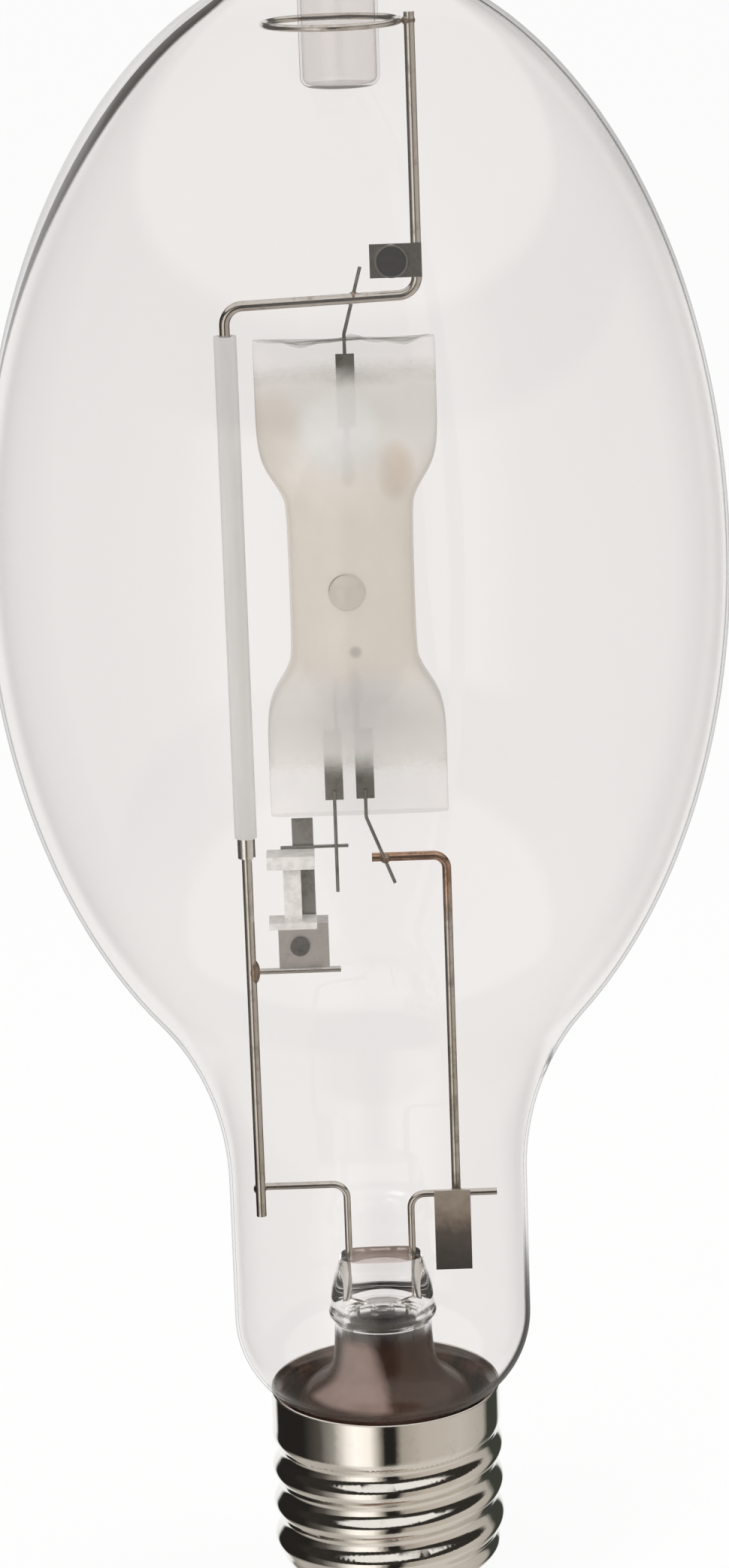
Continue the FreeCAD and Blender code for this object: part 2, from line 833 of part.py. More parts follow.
def starter_y():
    """The starter lead is welded to the front of the contact wire."""
    return contact_y() - 2 * size["fine_lead_radius"]


def fine_leads():
    """Thin leads from the foils to the frame, the return rod and the contact wire."""
    fine = size["fine_lead_radius"]
    lap = size["foil_lap"]
    inset = size["foil_inset"]
    clear = size["lead_clear_of_pinch"]
    upper_y = fine - size["lead_radius"]
    upper_x = size["upper_foil_x"]
    upper_end = size["upper_pinch_z"]
    lower_y = size["lead_radius"] - fine
    lower_x = size["lower_foil_x"]
    lower_end = size["lower_pinch_z"]
    starter_x = size["starter_foil_x"]
    return {
        "upper_lead": [
            Vector(upper_x, upper_y, upper_end - inset - lap),
            Vector(upper_x, upper_y, upper_end + clear),
            Vector(upper_x + size["upper_lead_slant"], upper_y, amount(ROD_CROSS + " + upper_lead_rise")),
        ],
        "lower_lead": [
            Vector(lower_x, lower_y, lower_end + inset + lap),
            Vector(lower_x, lower_y, lower_end - clear),
            Vector(lower_x + size["lower_lead_slant"], lower_y, size["lower_lead_bottom_z"]),
        ],
        "starter_lead": [
            Vector(starter_x, starter_y(), lower_end + inset + lap),
            Vector(starter_x, starter_y(), size["starter_lead_bottom_z"]),
        ],
    }


def electrode_places():
    """Axis of each main electrode in depth, and which way it points."""
    return {
        "upper_electrode": (size["shank_radius"] - size["lead_radius"], 1),
        "lower_electrode": (size["lead_radius"] - size["shank_radius"], -1),
    }


def shank_ends(side):
    """Tip and root of a main electrode, by height."""
    tip = size["arc_centre_z"] + side * size["arc_gap_half"]
    pinch = size["upper_pinch_z"] if side > 0 else size["lower_pinch_z"]
    root = pinch - side * (size["foil_inset"] + size["foil_length"] - size["foil_lap"])
    return tip, root


def starting_pin():
    """Foot and top of the starting electrode beside the lower electrode."""
    root = size["lower_pinch_z"] + size["foil_inset"] + size["foil_length"] - size["foil_lap"]
    depth = starter_y() + size["fine_lead_radius"] - size["pin_radius"]
    foot = Vector(size["arc_x"] - size["pin_offset"], depth, root)
    return foot, size["lower_pinch_z"] + size["pin_reach"]


def dome_edge(bore, dome, level):
    """A quarter of an ellipse from the bore to the axis."""
    curve = Part.BSplineCurve()
    points = []
    for index in range(DOME_STEPS + 1):
        angle = math.pi / 2 * index / DOME_STEPS
        points.append(Vector(bore * math.cos(angle), 0, level + dome * math.sin(angle)))
    curve.interpolate(points)
    return curve.toShape()


def arc_chamber():
    """The sealed chamber: a round bore with a domed end towards each pinch."""
    bore = size["arc_radius"] - size["arc_wall"]
    dome = size["arc_dome_height"]
    low_end, high_end = arc_ends()
    low = low_end + size["arc_dome_start"]
    high = high_end - size["arc_dome_start"]
    outline = Part.Wire(
        [
            Part.LineSegment(Vector(bore, 0, low), Vector(bore, 0, high)).toShape(),
            dome_edge(bore, dome, high),
            Part.LineSegment(Vector(0, 0, high + dome), Vector(0, 0, low - dome)).toShape(),
            dome_edge(bore, -dome, low),
        ]
    )
    chamber = Part.Face(outline).revolve(Vector(0, 0, 0), Vector(0, 0, 1), 360)
    chamber.translate(Vector(size["arc_x"], 0, 0))
    return chamber


def make_arc_tube():
    """Fused quartz tube with a flat pinch at each end and the sealed tip of its filling tube."""
    centre = size["arc_x"]
    low_cut = size["lower_pinch_z"]
    high_cut = size["upper_pinch_z"]
    low_end, high_end = arc_ends()
    rings = [
        pinch_ring(low_cut, EDGE_WIDTH_SHARE, EDGE_DEPTH_SHARE, EDGE_SQUARENESS),
        pinch_ring(low_cut + EDGE_STEP, 1, 1, EDGE_SQUARENESS),
    ]
    for rise, width_share, depth_share, power in reversed(PINCH_FORM):
        if low_end - rise > low_cut + 2 * EDGE_STEP:
            rings.append(pinch_ring(low_end - rise, width_share, depth_share, power))
    for rise, width_share, depth_share, power in PINCH_FORM:
        if high_end + rise < high_cut - 2 * EDGE_STEP:
            rings.append(pinch_ring(high_end + rise, width_share, depth_share, power))
    rings.append(pinch_ring(high_cut - EDGE_STEP, 1, 1, EDGE_SQUARENESS))
    rings.append(pinch_ring(high_cut, EDGE_WIDTH_SHARE, EDGE_DEPTH_SHARE, EDGE_SQUARENESS))
    quartz = filled_skin(rings)
    nub_depth = size["arc_radius"] + size["nub_proud"] - size["nub_radius"]
    quartz = quartz.fuse(Part.makeSphere(size["nub_radius"], Vector(centre, -nub_depth, size["nub_z"])))
    quartz = quartz.cut(arc_chamber())
    play = size["seal_clearance"]
    for corner in foil_boxes().values():
        slot = Part.makeBox(
            size["foil_width"] + 2 * play, size["foil_thick"] + 2 * play, size["foil_length"] + 2 * play
        )
        slot.translate(corner - Vector(play, play, play))
        quartz = quartz.cut(slot)
    for points in fine_leads().values():
        run = points[1] - points[0]
        quartz = quartz.cut(Part.makeCylinder(size["fine_lead_radius"] + play, run.Length, points[0], run))
    for depth, side in electrode_places().values():
        tip, root = shank_ends(side)
        foot = Vector(centre, depth, root)
        inward = Vector(0, 0, -side)
        quartz = quartz.cut(Part.makeCylinder(size["shank_radius"] + play, abs(tip - root), foot, inward))
    foot, top = starting_pin()
    quartz = quartz.cut(Part.makeCylinder(size["pin_radius"] + play, top - foot.z, foot))
    solid_piece("arc_tube", quartz)


def make_seals():
    """Foils, thin leads and electrodes."""
    for label, corner in foil_boxes().items():
        foil = block(label, "foil_width", "foil_thick", "foil_length")
        foil.Placement.Base = corner
        keep(foil)
    for label, points in fine_leads().items():
        wire_piece(label, points, size["fine_lead_radius"], size["fine_bend_radius"])
    for label, (depth, side) in electrode_places().items():
        solid_piece(label, electrode(depth, side))
    foot, top = starting_pin()
    solid_piece("starting_electrode", Part.makeCylinder(size["pin_radius"], top - foot.z, foot))


# Where a turn of the coil starts to fall, where it ends and where the hollow before the next one lies,
# as shares of the pitch
COIL_OUT = 0.25
COIL_IN = 0.6
COIL_HOLLOW = 0.9


def electrode(depth, side):
    """Tungsten shank with its wound coil behind the tip."""
    tip, root = shank_ends(side)
    shank = size["shank_radius"]
    outer = size["coil_radius"]
    pitch = size["coil_pitch"]
    length = abs(root - tip)
    corners = [Vector(0, 0, 0), Vector(shank, 0, 0), Vector(shank, 0, size["coil_back"])]
    for turn in range(int(size["coil_turns"])):
        foot = size["coil_back"] + turn * pitch
        corners.append(Vector(outer, 0, foot + pitch * COIL_OUT))
        corners.append(Vector(outer, 0, foot + pitch * COIL_IN))
        corners.append(Vector((shank + outer) / 2, 0, foot + pitch * COIL_HOLLOW))
    corners.append(Vector(shank, 0, size["coil_back"] + size["coil_turns"] * pitch))
    corners.append(Vector(shank, 0, length))
    corners.append(Vector(0, 0, length))
    corners.append(Vector(0, 0, 0))
    shape = Part.Face(Part.makePolygon(corners)).revolve(Vector(0, 0, 0), Vector(0, 0, 1), 360)
    if side < 0:
        shape.rotate(Vector(0, 0, 0), Vector(1, 0, 0), 180)
    shape.translate(Vector(size["arc_x"], depth, tip))
    return shape


# Return rod and flag


def make_return():
    """Bent rod from the right stem lead to the lower electrode, and the flag strip on the lead."""
    y = size["return_radius"] + size["lead_radius"]
    points = [
        Vector(size["return_left_x"], y, size["return_cross_z"]),
        Vector(size["return_x"], y, size["return_cross_z"]),
        Vector(size["return_x"], y, size["right_lead_z"] - size["return_below_lead"]),
    ]
    wire_piece("return_rod", points, size["return_radius"], size["return_bend_radius"])
    flag = block("getter_flag", "flag_width", "flag_thick", "flag_height")
    flag_foot = "right_lead_z + lead_radius - flag_height"
    place(flag, "return_x - flag_left", "0 - lead_radius - flag_thick", flag_foot)
    keep(flag)


# Starting switch


def make_switch():
    """Support wire, folded bracket with its rivet, ceramic spool, bimetal strip and contact wire."""
    wire = cylinder("switch_wire", "switch_wire_radius", "switch_wire_reach")
    wire.Placement = Placement(Vector(0, 0, 0), Rotation(Vector(0, 1, 0), 90))
    keep(place(wire, "rod_radius - rod_left_x", FRAME_DEPTH, "switch_wire_z"))

    # Bracket: front plate, wing folded back on the right and a shelf folded back along the top
    back = BRACKET_FRONT + " + bracket_thick"
    right = "bracket_width - bracket_left_x"
    plate = new_body("bracket_blank")
    outline = new_sketch(plate, "bracket_outline", "XY_Plane")
    corners = [
        ("0 - bracket_left_x", BRACKET_FRONT),
        (right, BRACKET_FRONT),
        (right, BRACKET_FRONT + " + bracket_wing"),
        (right + " - bracket_thick", BRACKET_FRONT + " + bracket_wing"),
        (right + " - bracket_thick", back),
        ("0 - bracket_left_x", back),
    ]
    draw_outline(outline, corners)
    pad = plate.newObject("PartDesign::Pad", "bracket_pad")
    pad.Profile = outline
    pad.setExpression("Length", formula("bracket_height"))
    place(plate, "0", "0", BRACKET_FOOT)
    shelf = block("bracket_shelf", "bracket_width", "bracket_wing", "bracket_thick")
    place(shelf, "0 - bracket_left_x", BRACKET_FRONT, SHELF_TOP + " - bracket_thick")
    folded = doc.addObject("Part::Fuse", "bracket_folded")
    folded.Base = plate
    folded.Tool = shelf
    hole = cylinder("bracket_hole", "rivet_shank + touch_gap", "bracket_wing")
    hole.Placement = Placement(Vector(0, 0, 0), Rotation(Vector(1, 0, 0), -90))
    rivet_z = "switch_wire_z + rivet_rise"
    place(hole, "0 - rivet_x", BRACKET_FRONT + " - bracket_thick", rivet_z)
    bracket = doc.addObject("Part::Cut", "switch_bracket")
    bracket.Label = "switch_bracket"
    bracket.Base = folded
    bracket.Tool = hole
    keep(bracket)
    rivet = turned(
        "strip_rivet",
        [
            ("0", "0 - rivet_head"),
            ("rivet_radius", "0 - rivet_head"),
            ("rivet_radius", "0"),
            ("rivet_shank", "0"),
            ("rivet_shank", "bracket_thick"),
            ("rivet_tail", "bracket_thick"),
            ("rivet_tail", "bracket_thick + rivet_head"),
            ("0", "bracket_thick + rivet_head"),
        ],
    )
    rivet.Placement = Placement(Vector(0, 0, 0), Rotation(Vector(1, 0, 0), -90))
    keep(place(rivet, "0 - rivet_x", BRACKET_FRONT, rivet_z))

    # Ceramic spool: two square ends on a slim core, standing on the shelf
    spool_front = "strip_front_y - strip_spool_gap - spool_depth"
    foot = block("spool_foot", "spool_width", "spool_depth", "spool_plate")
    place(foot, "0 - spool_left_x", spool_front, SHELF_TOP)
    core = block("spool_core", "spool_core_width", "spool_core_depth", "spool_height")
    place(core, "0 - spool_core_x", spool_front + " + spool_core_inset", SHELF_TOP)
    head = block("spool_head", "spool_width", "spool_depth", "spool_cap")
    place(head, "0 - spool_left_x", spool_front, SHELF_TOP + " + spool_height - spool_cap")
    spool = doc.addObject("Part::MultiFuse", "switch_spool")
    spool.Label = "switch_spool"
    spool.Shapes = [foot, core, head]
    spool.Refine = True
    keep(spool)

    # Bimetal strip: stands behind the spool and leans back when it is hot
    strip = block("bimetal_strip", "strip_width", "strip_thick", "strip_thick")
    strip.setExpression("Height", formula("strip_top_z - strip_clearance - " + minus(SHELF_TOP)))
    place(strip, "0 - strip_x", "strip_front_y", SHELF_TOP + " + strip_clearance")
    strip.setExpression("Placement.Base.x", "0 - Sizes.strip_x - Sizes.strip_width / 2")
    keep(strip)

    # Contact wire: carried by the starter lead, resting on the spool's head
    touch = doc.addObject("Part::Cylinder", "contact_wire")
    touch.Label = "contact_wire"
    touch.setExpression("Radius", "Sizes.fine_lead_radius")
    touch.setExpression(
        "Height", "Sizes.contact_wire_left_x + Sizes.starter_foil_x + Sizes.contact_wire_past"
    )
    touch.Placement = Placement(Vector(0, 0, 0), Rotation(Vector(0, 1, 0), 90))
    place(
        touch,
        "0 - contact_wire_left_x",
        "strip_front_y - touch_gap - fine_lead_radius",
        SHELF_TOP + " + spool_height + touch_gap + fine_lead_radius",
    )
    keep(touch)


def minus(sum_text):
    """The same sum with every sign turned over, for taking it away."""
    words = []
    for word in sum_text.split():
        words.append({"+": "-", "-": "+"}.get(word, word))
    return " ".join(words)


# Screw base

# Straight start of the turned-in lip as a share of its height, rings over the shoulder, and where the rings
# of the skirt lie between the thread and the rim
LIP_START = 0.4
SHOULDER_RINGS = 6
SKIRT_RINGS = (0.25, 0.5, 0.75, 0.92, 1.0)


def fade(value, low, high):
    """0 at low, 1 at high, smooth between."""
    share = min(1.0, max(0.0, (value - low) / (high - low)))
    return share * share * (3 - 2 * share)


def shell_rings(inset):
    """Rings of poles down one face of the rolled shell, from its lip up to its rim."""
    lip = size["shell_lip_radius"] - inset
    bottom = size["shell_bottom_z"]
    mean = size["thread_radius"] - size["thread_depth"] / 2
    low = size["thread_bottom_z"]
    high = amount(THREAD_TOP)
    soft = size["thread_fade"]
    turn_z = bottom + size["shell_shoulder"]
    span = mean - size["shell_lip_radius"]
    rise = size["shell_shoulder"] - size["shell_lip_height"] - inset
    profile = [(lip, bottom), (lip, bottom + LIP_START * size["shell_lip_height"])]
    for index in range(SHOULDER_RINGS):
        angle = math.pi / 2 * (1 - index / SHOULDER_RINGS)
        profile.append((lip + span * math.cos(angle), turn_z - rise * math.sin(angle)))
    pitch = size["thread_pitch"]
    steps = round((high - turn_z) / pitch * POLES_PER_PITCH)
    for index in range(steps + 1):
        height = turn_z + (high - turn_z) * index / steps
        outer = mean + (size["skirt_radius"] - mean) * fade(height, high - soft, high)
        profile.append((outer - inset, height))
    rim = size["base_height"]
    for share in SKIRT_RINGS:
        profile.append((size["skirt_radius"] - inset, between(high, rim, share)))
    # A cubic skin flattens a wave a little, so the poles draw it that much deeper
    swell = size["thread_depth"] / 2 * pole_reach(POLES_PER_PITCH)
    rings = []
    for radius, height in profile:
        strength = swell * fade(height, low - soft, low) * (1 - fade(height, high - soft, high))
        ring = []
        for index in range(SHELL_POLES):
            angle = 2 * math.pi * index / SHELL_POLES
            wave = math.cos(2 * math.pi * (height - size["thread_phase_z"]) / pitch - angle)
            reach = (radius + strength * wave) * pole_reach(SHELL_POLES)
            ring.append(Vector(reach * math.cos(angle), reach * math.sin(angle), height))
        rings.append(ring)
    return rings


def make_shell():
    """Screw shell rolled from sheet: the thread shows on both faces of the wall."""
    outer = skin(shell_rings(0.0))
    inner = skin(shell_rings(size["shell_wall"]))
    outer_low, outer_high = end_edges(outer)
    inner_low, inner_high = end_edges(inner)
    lip = ring_face(outer_low, inner_low)
    rim = ring_face(outer_high, inner_high)
    solid_piece("base_shell", closed_solid([outer, inner, lip, rim]))


def make_base():
    """Cement ring, glass insulator, centre contact and its solder."""
    root = "thread_radius - thread_depth - shell_wall - cement_gap"
    skirt = "skirt_radius - shell_wall - cement_gap"
    bore = "seal_radius + cement_gap"
    cement = turned(
        "base_cement",
        [
            (bore, "cement_bottom_z"),
            (root, "cement_bottom_z"),
            (root, THREAD_TOP),
            (skirt, THREAD_TOP + " + cement_step"),
            (skirt, CEMENT_TOP),
            (bore + " + cement_step", CEMENT_TOP),
            (bore, CEMENT_TOP + " - cement_step - cement_step"),
        ],
    )
    keep(cement)
    through = "lead_radius + insulator_gap"
    lip = "shell_lip_radius - shell_wall - insulator_gap"
    shell_inside = "shell_bottom_z + shell_lip_height + shell_wall + insulator_gap"
    insulator = turned(
        "base_insulator",
        [
            (through, "contact_thick"),
            ("contact_radius + insulator_gap", "contact_thick"),
            ("insulator_tip_radius", "insulator_bottom_z"),
            (lip, "shell_bottom_z - insulator_gap"),
            (lip, shell_inside),
            (lip + " + insulator_step", shell_inside + " + insulator_flange"),
            (lip + " + insulator_step + insulator_step", "insulator_top_z"),
            (through, "insulator_top_z"),
        ],
    )
    keep(insulator)
    contact = turned(
        "centre_contact",
        [
            ("eyelet_radius", "0"),
            ("contact_radius - contact_bevel", "0"),
            ("contact_radius", "contact_bevel"),
            ("contact_radius", "contact_thick"),
            ("eyelet_radius", "contact_thick"),
        ],
    )
    keep(contact)
    solder = turned(
        "centre_solder",
        [
            ("0", "solder_inset"),
            ("eyelet_radius - touch_gap", "solder_inset"),
            ("eyelet_radius - touch_gap", "contact_thick - touch_gap"),
            ("0", "contact_thick - touch_gap"),
        ],
    )
    keep(solder)


make_bulb()
make_stem()
make_stem_leads()
make_frame()
make_getter()
make_arc_tube()
make_seals()
make_return()
make_switch()
make_shell()
make_base()
doc.recompute()

for item in doc.Objects:
    if "Invalid" in item.State or "Error" in item.State:
        raise RuntimeError("failed: " + item.Name)
FACET_REACH = 0.1
facets = 0
os.makedirs("parts", exist_ok=True)
for piece in parts:
    shape = piece.Shape
    if shape.isNull() or not shape.isValid():
        raise RuntimeError("bad shape: " + piece.Label)
    count = len(shape.tessellate(FACET_REACH)[1])
    facets += count
    print("%-20s solids %d volume %10.2f facets %5d" % (piece.Label, len(shape.Solids), shape.Volume, count))
print("pieces %d facets %d" % (len(parts), facets))
for piece in parts:
    piece.Shape.exportStep(os.path.join("parts", piece.Label + ".step"))
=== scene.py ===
# %% [markdown]
# # A clear discharge lamp, dressed in Blender
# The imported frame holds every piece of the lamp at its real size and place. This lesson gives each
# piece its finish, and remakes the few whose surface matters most: the blown bulb, the quartz arc
# tube and the stem. Everything is in metres, with +Z up the lamp's axis, and the origin under the
# centre contact.

# %% Load the frame
import json
import math
import operator

import bmesh
import bpy
from mathutils import Matrix, Vector


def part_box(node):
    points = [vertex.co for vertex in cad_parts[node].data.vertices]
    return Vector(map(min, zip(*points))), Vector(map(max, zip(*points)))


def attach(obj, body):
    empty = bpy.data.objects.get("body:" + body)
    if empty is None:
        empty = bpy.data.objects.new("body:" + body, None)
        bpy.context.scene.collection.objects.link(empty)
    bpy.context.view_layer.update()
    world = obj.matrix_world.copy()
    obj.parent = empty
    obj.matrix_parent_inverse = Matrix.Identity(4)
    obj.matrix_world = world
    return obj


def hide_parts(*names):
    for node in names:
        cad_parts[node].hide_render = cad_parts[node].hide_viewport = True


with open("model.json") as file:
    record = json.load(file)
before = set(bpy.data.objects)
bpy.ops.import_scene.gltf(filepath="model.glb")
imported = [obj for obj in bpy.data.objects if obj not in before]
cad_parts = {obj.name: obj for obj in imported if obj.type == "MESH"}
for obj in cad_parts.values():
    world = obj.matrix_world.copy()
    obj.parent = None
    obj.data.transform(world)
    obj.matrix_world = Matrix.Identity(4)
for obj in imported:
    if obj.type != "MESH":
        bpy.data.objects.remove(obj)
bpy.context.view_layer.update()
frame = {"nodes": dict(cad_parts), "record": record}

MM = 0.001
nodes = frame["nodes"]

# %% [markdown]
# ## The camera
# A lamp this shiny looks different from every side, so the camera comes first. It stands 0.69 m in
# front, a little above the bulb, tips down by 14.7 degrees and leans by 2 degrees. A tracking
# constraint could aim it, but it can't lean, so one matrix places and turns it.

# %% Camera
CAMERA_PLACE = Vector((0.0, -0.6917, 0.3284))
CAMERA_PITCH = math.radians(90 - 14.74)
CAMERA_ROLL = math.radians(-1.99)
LENS_MM = 100
LONG_SIDE_MM = 36

camera_data = bpy.data.cameras.new("camera")
camera_data.lens = LENS_MM
camera_data.sensor_width = LONG_SIDE_MM
camera_data.clip_end = 50
camera = bpy.data.objects.new("camera", camera_data)
bpy.context.scene.collection.objects.link(camera)
lean = Matrix.Rotation(CAMERA_PITCH, 4, "X") @ Matrix.Rotation(CAMERA_ROLL, 4, "Z")
camera.matrix_world = Matrix.Translation(CAMERA_PLACE) @ lean
bpy.context.scene.camera = camera
bpy.context.scene.view_settings.view_transform = "Standard"
print("camera stands at:", CAMERA_PLACE, "lens:", LENS_MM, "mm")

# %% [markdown]
# ## Shader maths as plain expressions
# A material is a small program. It could be wired link by link, but long sums are hard to read that
# way. Two classes keep them short: a Value wraps one socket, so that `1 - mask` adds the Math node
# by itself, and a Finish holds one material and adds any other node by its type, settings and
# inputs.

# %% Values
class Value:
    """A socket in a finish. Sums and products of it add Math nodes."""

    def __init__(self, finish, socket):
        self.finish = finish
        self.socket = socket

    def join(self, operation, first, second):
        return self.finish.add("ShaderNodeMath", {"operation": operation}, {0: first, 1: second})

    def __add__(self, other):
        return self.join("ADD", self, other)

    __radd__ = __add__

    def __sub__(self, other):
        return self.join("SUBTRACT", self, other)

    def __rsub__(self, other):
        return self.join("SUBTRACT", other, self)

    def __mul__(self, other):
        return self.join("MULTIPLY", self, other)

    __rmul__ = __mul__

    def __truediv__(self, other):
        return self.join("DIVIDE", self, other)

    def __pow__(self, other):
        return self.join("POWER", self, other)


# %% Finishes
MIX_FACTOR = 0
MIX_FIRST = 6
MIX_SECOND = 7
MIX_COLOUR = 2


class Finish:
    """The node tree of one material or of the world."""

    def __init__(self, name, tree):
        self.name = name
        self.tree = tree
        tree.nodes.clear()

    def make(self, kind, settings=None, inputs=None):
        """One node: its type, its settings, set first, and the values or links of its sockets."""
        node = self.tree.nodes.new(kind)
        for name, value in (settings or {}).items():
            if name == "stops":
                self.set_stops(node.color_ramp, value)
            else:
                setattr(node, name, value)
        for name, value in (inputs or {}).items():
            socket = node.inputs[name]
            if isinstance(value, Value):
                self.tree.links.new(value.socket, socket)
            elif isinstance(value, (tuple, list)) and len(value) == 3 and len(socket.default_value) == 4:
                socket.default_value = (*value, 1.0)
            else:
                socket.default_value = value
        return node

    def add(self, kind, settings=None, inputs=None, output=0):
        """A new node's output, as a value."""
        return Value(self, self.make(kind, settings, inputs).outputs[output])

    def set_stops(self, ramp, stops):
        while len(ramp.elements) < len(stops):
            ramp.elements.new(0.5)
        for element, (place, colour) in zip(ramp.elements, stops):
            element.position = place
            element.color = (*colour, 1.0) if isinstance(colour, tuple) else (colour, colour, colour, 1.0)

    def place(self):
        """Object coordinates, in metres."""
        return self.add("ShaderNodeTexCoord", output="Object")

    def axis(self, vector, name):
        return self.add("ShaderNodeSeparateXYZ", inputs={0: vector}, output=name)

    def stretched(self, vector, scale):
        """The same coordinates with each axis multiplied."""
        return self.add("ShaderNodeMapping", inputs={"Vector": vector, "Scale": scale})

    def noise(self, vector, size_mm, detail=3.0, roughness=0.55):
        """Cloudy noise whose lumps are about size_mm across."""
        settings = {"Vector": vector, "Scale": 1 / (size_mm * MM), "Detail": detail, "Roughness": roughness}
        return self.add("ShaderNodeTexNoise", inputs=settings)

    def ramp(self, value, stops):
        return self.add("ShaderNodeValToRGB", {"stops": stops}, {"Fac": value})

    def mask(self, value, low, high):
        """0 below low, 1 above high, smooth between. It also runs downwards."""
        settings = {"interpolation_type": "SMOOTHSTEP"}
        return self.add("ShaderNodeMapRange", settings, {"Value": value, "From Min": low, "From Max": high})

    def blend(self, factor, first, second):
        """Mixes two colours."""
        inputs = {MIX_FACTOR: factor, MIX_FIRST: first, MIX_SECOND: second}
        return self.add("ShaderNodeMix", {"data_type": "RGBA"}, inputs, MIX_COLOUR)

    def bump(self, height, depth_mm):
        """A relief whose highest points stand depth_mm above its lowest."""
        inputs = {"Height": height, "Distance": depth_mm * MM, "Strength": 1.0}
        return self.add("ShaderNodeBump", inputs=inputs)

    def principled(self, **sockets):
        """A Principled shader. Names use underscores: Base_Color, Roughness."""
        inputs = {name.replace("_", " "): value for name, value in sockets.items()}
        return self.add("ShaderNodeBsdfPrincipled", inputs=inputs)

    def facing(self):
        """0 where a face is seen square on, 1 where it is seen edge on."""
        return self.add("ShaderNodeLayerWeight", inputs={"Blend": 0.5}, output="Facing")

    def most(self, first, second):
        return self.add("ShaderNodeMath", {"operation": "MAXIMUM"}, {0: first, 1: second})

    def ray(self, name):
        return self.add("ShaderNodeLightPath", output=name)

    def looked_at(self):
        """1 where the eye looks straight or through glass, 0 for light and reflections."""
        return self.most(self.ray("Is Camera Ray"), self.ray("Is Transmission Ray"))

    def spot(self, place, centre, reach):
        """1 at a point given as (across, up) in millimetres, fading to 0 at the reach."""
        across = (self.axis(place, "X") / MM - centre[0]) / reach[0]
        rise = (self.axis(place, "Z") / MM - centre[1]) / reach[1]
        return self.mask(across * across + rise * rise, 1.0, 0.0)

    def clear(self, tint=(1.0, 1.0, 1.0)):
        return self.add("ShaderNodeBsdfTransparent", inputs={"Color": tint})

    def mix_shaders(self, factor, first, second):
        return self.add("ShaderNodeMixShader", inputs={0: factor, 1: first, 2: second})

    def finish(self, surface, kind="ShaderNodeOutputMaterial"):
        """Ends the tree with its output node."""
        self.make(kind, inputs={"Surface": surface})
        print(self.name, "nodes:", len(self.tree.nodes))


def new_finish(name):
    material = bpy.data.materials.new(name)
    material.use_nodes = True
    return material, Finish(name, material.node_tree)


# %% [markdown]
# ## A plain studio
# Clear glass has no colour of its own: what the eye reads as glass is the dark edge, and the
# reflections of a few panels. Those could be real planes round the lamp, but each would also light
# it or shade it. So the world is white to the camera, and reflections alone see a small studio,
# painted by direction: white behind the lamp, a black panel on the left, a warm white one in front
# of it, a thin dark gap, and a beige room on the right.

# %% Panels by bearing
WHITE = (1.0, 1.0, 1.0)
DAYLIGHT = (1.0, 0.99, 0.975)
AMBIENT_STRENGTH = 0.82

world = bpy.data.worlds.new("studio")
bpy.context.scene.world = world
world.use_nodes = True
studio = Finish("studio", world.node_tree)
direction = studio.add("ShaderNodeTexCoord", output="Generated")
east = studio.axis(direction, "X")
north = studio.axis(direction, "Y")
height = studio.axis(direction, "Z")
# Bearing: 0 behind on the left side, 0.5 in front, 1 behind on the right side
bearing = studio.add("ShaderNodeMath", {"operation": "ARCTAN2"}, {0: east, 1: 0 - north})
bearing = bearing / (2 * math.pi) + 0.5
panels = studio.ramp(
    bearing,
    [
        (0.000, (1.00, 1.00, 1.00)),
        (0.085, (0.98, 0.98, 0.97)),
        (0.105, (0.02, 0.018, 0.016)),
        (0.240, (0.02, 0.018, 0.016)),
        (0.300, (0.09, 0.08, 0.07)),
        (0.345, (0.35, 0.33, 0.30)),
        (0.385, (1.05, 0.99, 0.92)),
        (0.410, (1.25, 1.20, 1.14)),
        (0.450, (1.15, 1.08, 1.00)),
        (0.478, (0.36, 0.33, 0.29)),
        (0.492, (0.02, 0.018, 0.016)),
        (0.522, (0.02, 0.018, 0.016)),
        (0.540, (0.42, 0.38, 0.33)),
        (0.600, (0.56, 0.51, 0.45)),
        (0.720, (0.60, 0.55, 0.50)),
        (0.815, (0.46, 0.43, 0.39)),
        (0.840, (0.05, 0.055, 0.045)),
        (0.915, (0.05, 0.055, 0.045)),
        (0.935, (0.95, 0.95, 0.94)),
        (1.000, (1.00, 1.00, 1.00)),
    ],
)

# %% Bands by height
# A brown table edge far below, a pale floor, a dark gap above the panels, and a white ceiling
table = studio.mask(height, -0.955, -0.985)
pale_floor = studio.mask(height, -0.50, -0.72)
gap = studio.mask(height, 0.20, 0.27) * studio.mask(height, 0.54, 0.48)
ceiling = studio.mask(height, 0.48, 0.54)
panels = studio.blend(pale_floor * 0.7, panels, (0.72, 0.67, 0.61))
panels = studio.blend(gap, panels, (0.03, 0.026, 0.022))
panels = studio.blend(ceiling, panels, (0.95, 0.93, 0.90))
panels = studio.blend(table, panels, (0.20, 0.13, 0.10))
glossy = studio.add("ShaderNodeBackground", inputs={"Color": panels, "Strength": 1.0})
ambient = studio.add("ShaderNodeBackground", inputs={"Color": DAYLIGHT, "Strength": AMBIENT_STRENGTH})
backdrop = studio.add("ShaderNodeBackground", inputs={"Color": WHITE, "Strength": 1.0})
lit = studio.mix_shaders(studio.ray("Is Glossy Ray"), ambient, glossy)
studio.finish(studio.mix_shaders(studio.looked_at(), lit, backdrop), "ShaderNodeOutputWorld")

# %% [markdown]
# ## Floor and lamps
# The floor is pale paper. More light would whiten it, but would bleach the pale pieces too, so it
# glows to the eye as white as the world behind it, and keeps enough of its matt paper to hold the
# lamp's shadow. Two large soft lamps give the matt parts their shape. Nothing mirrors them, because
# the painted studio gives the reflections.

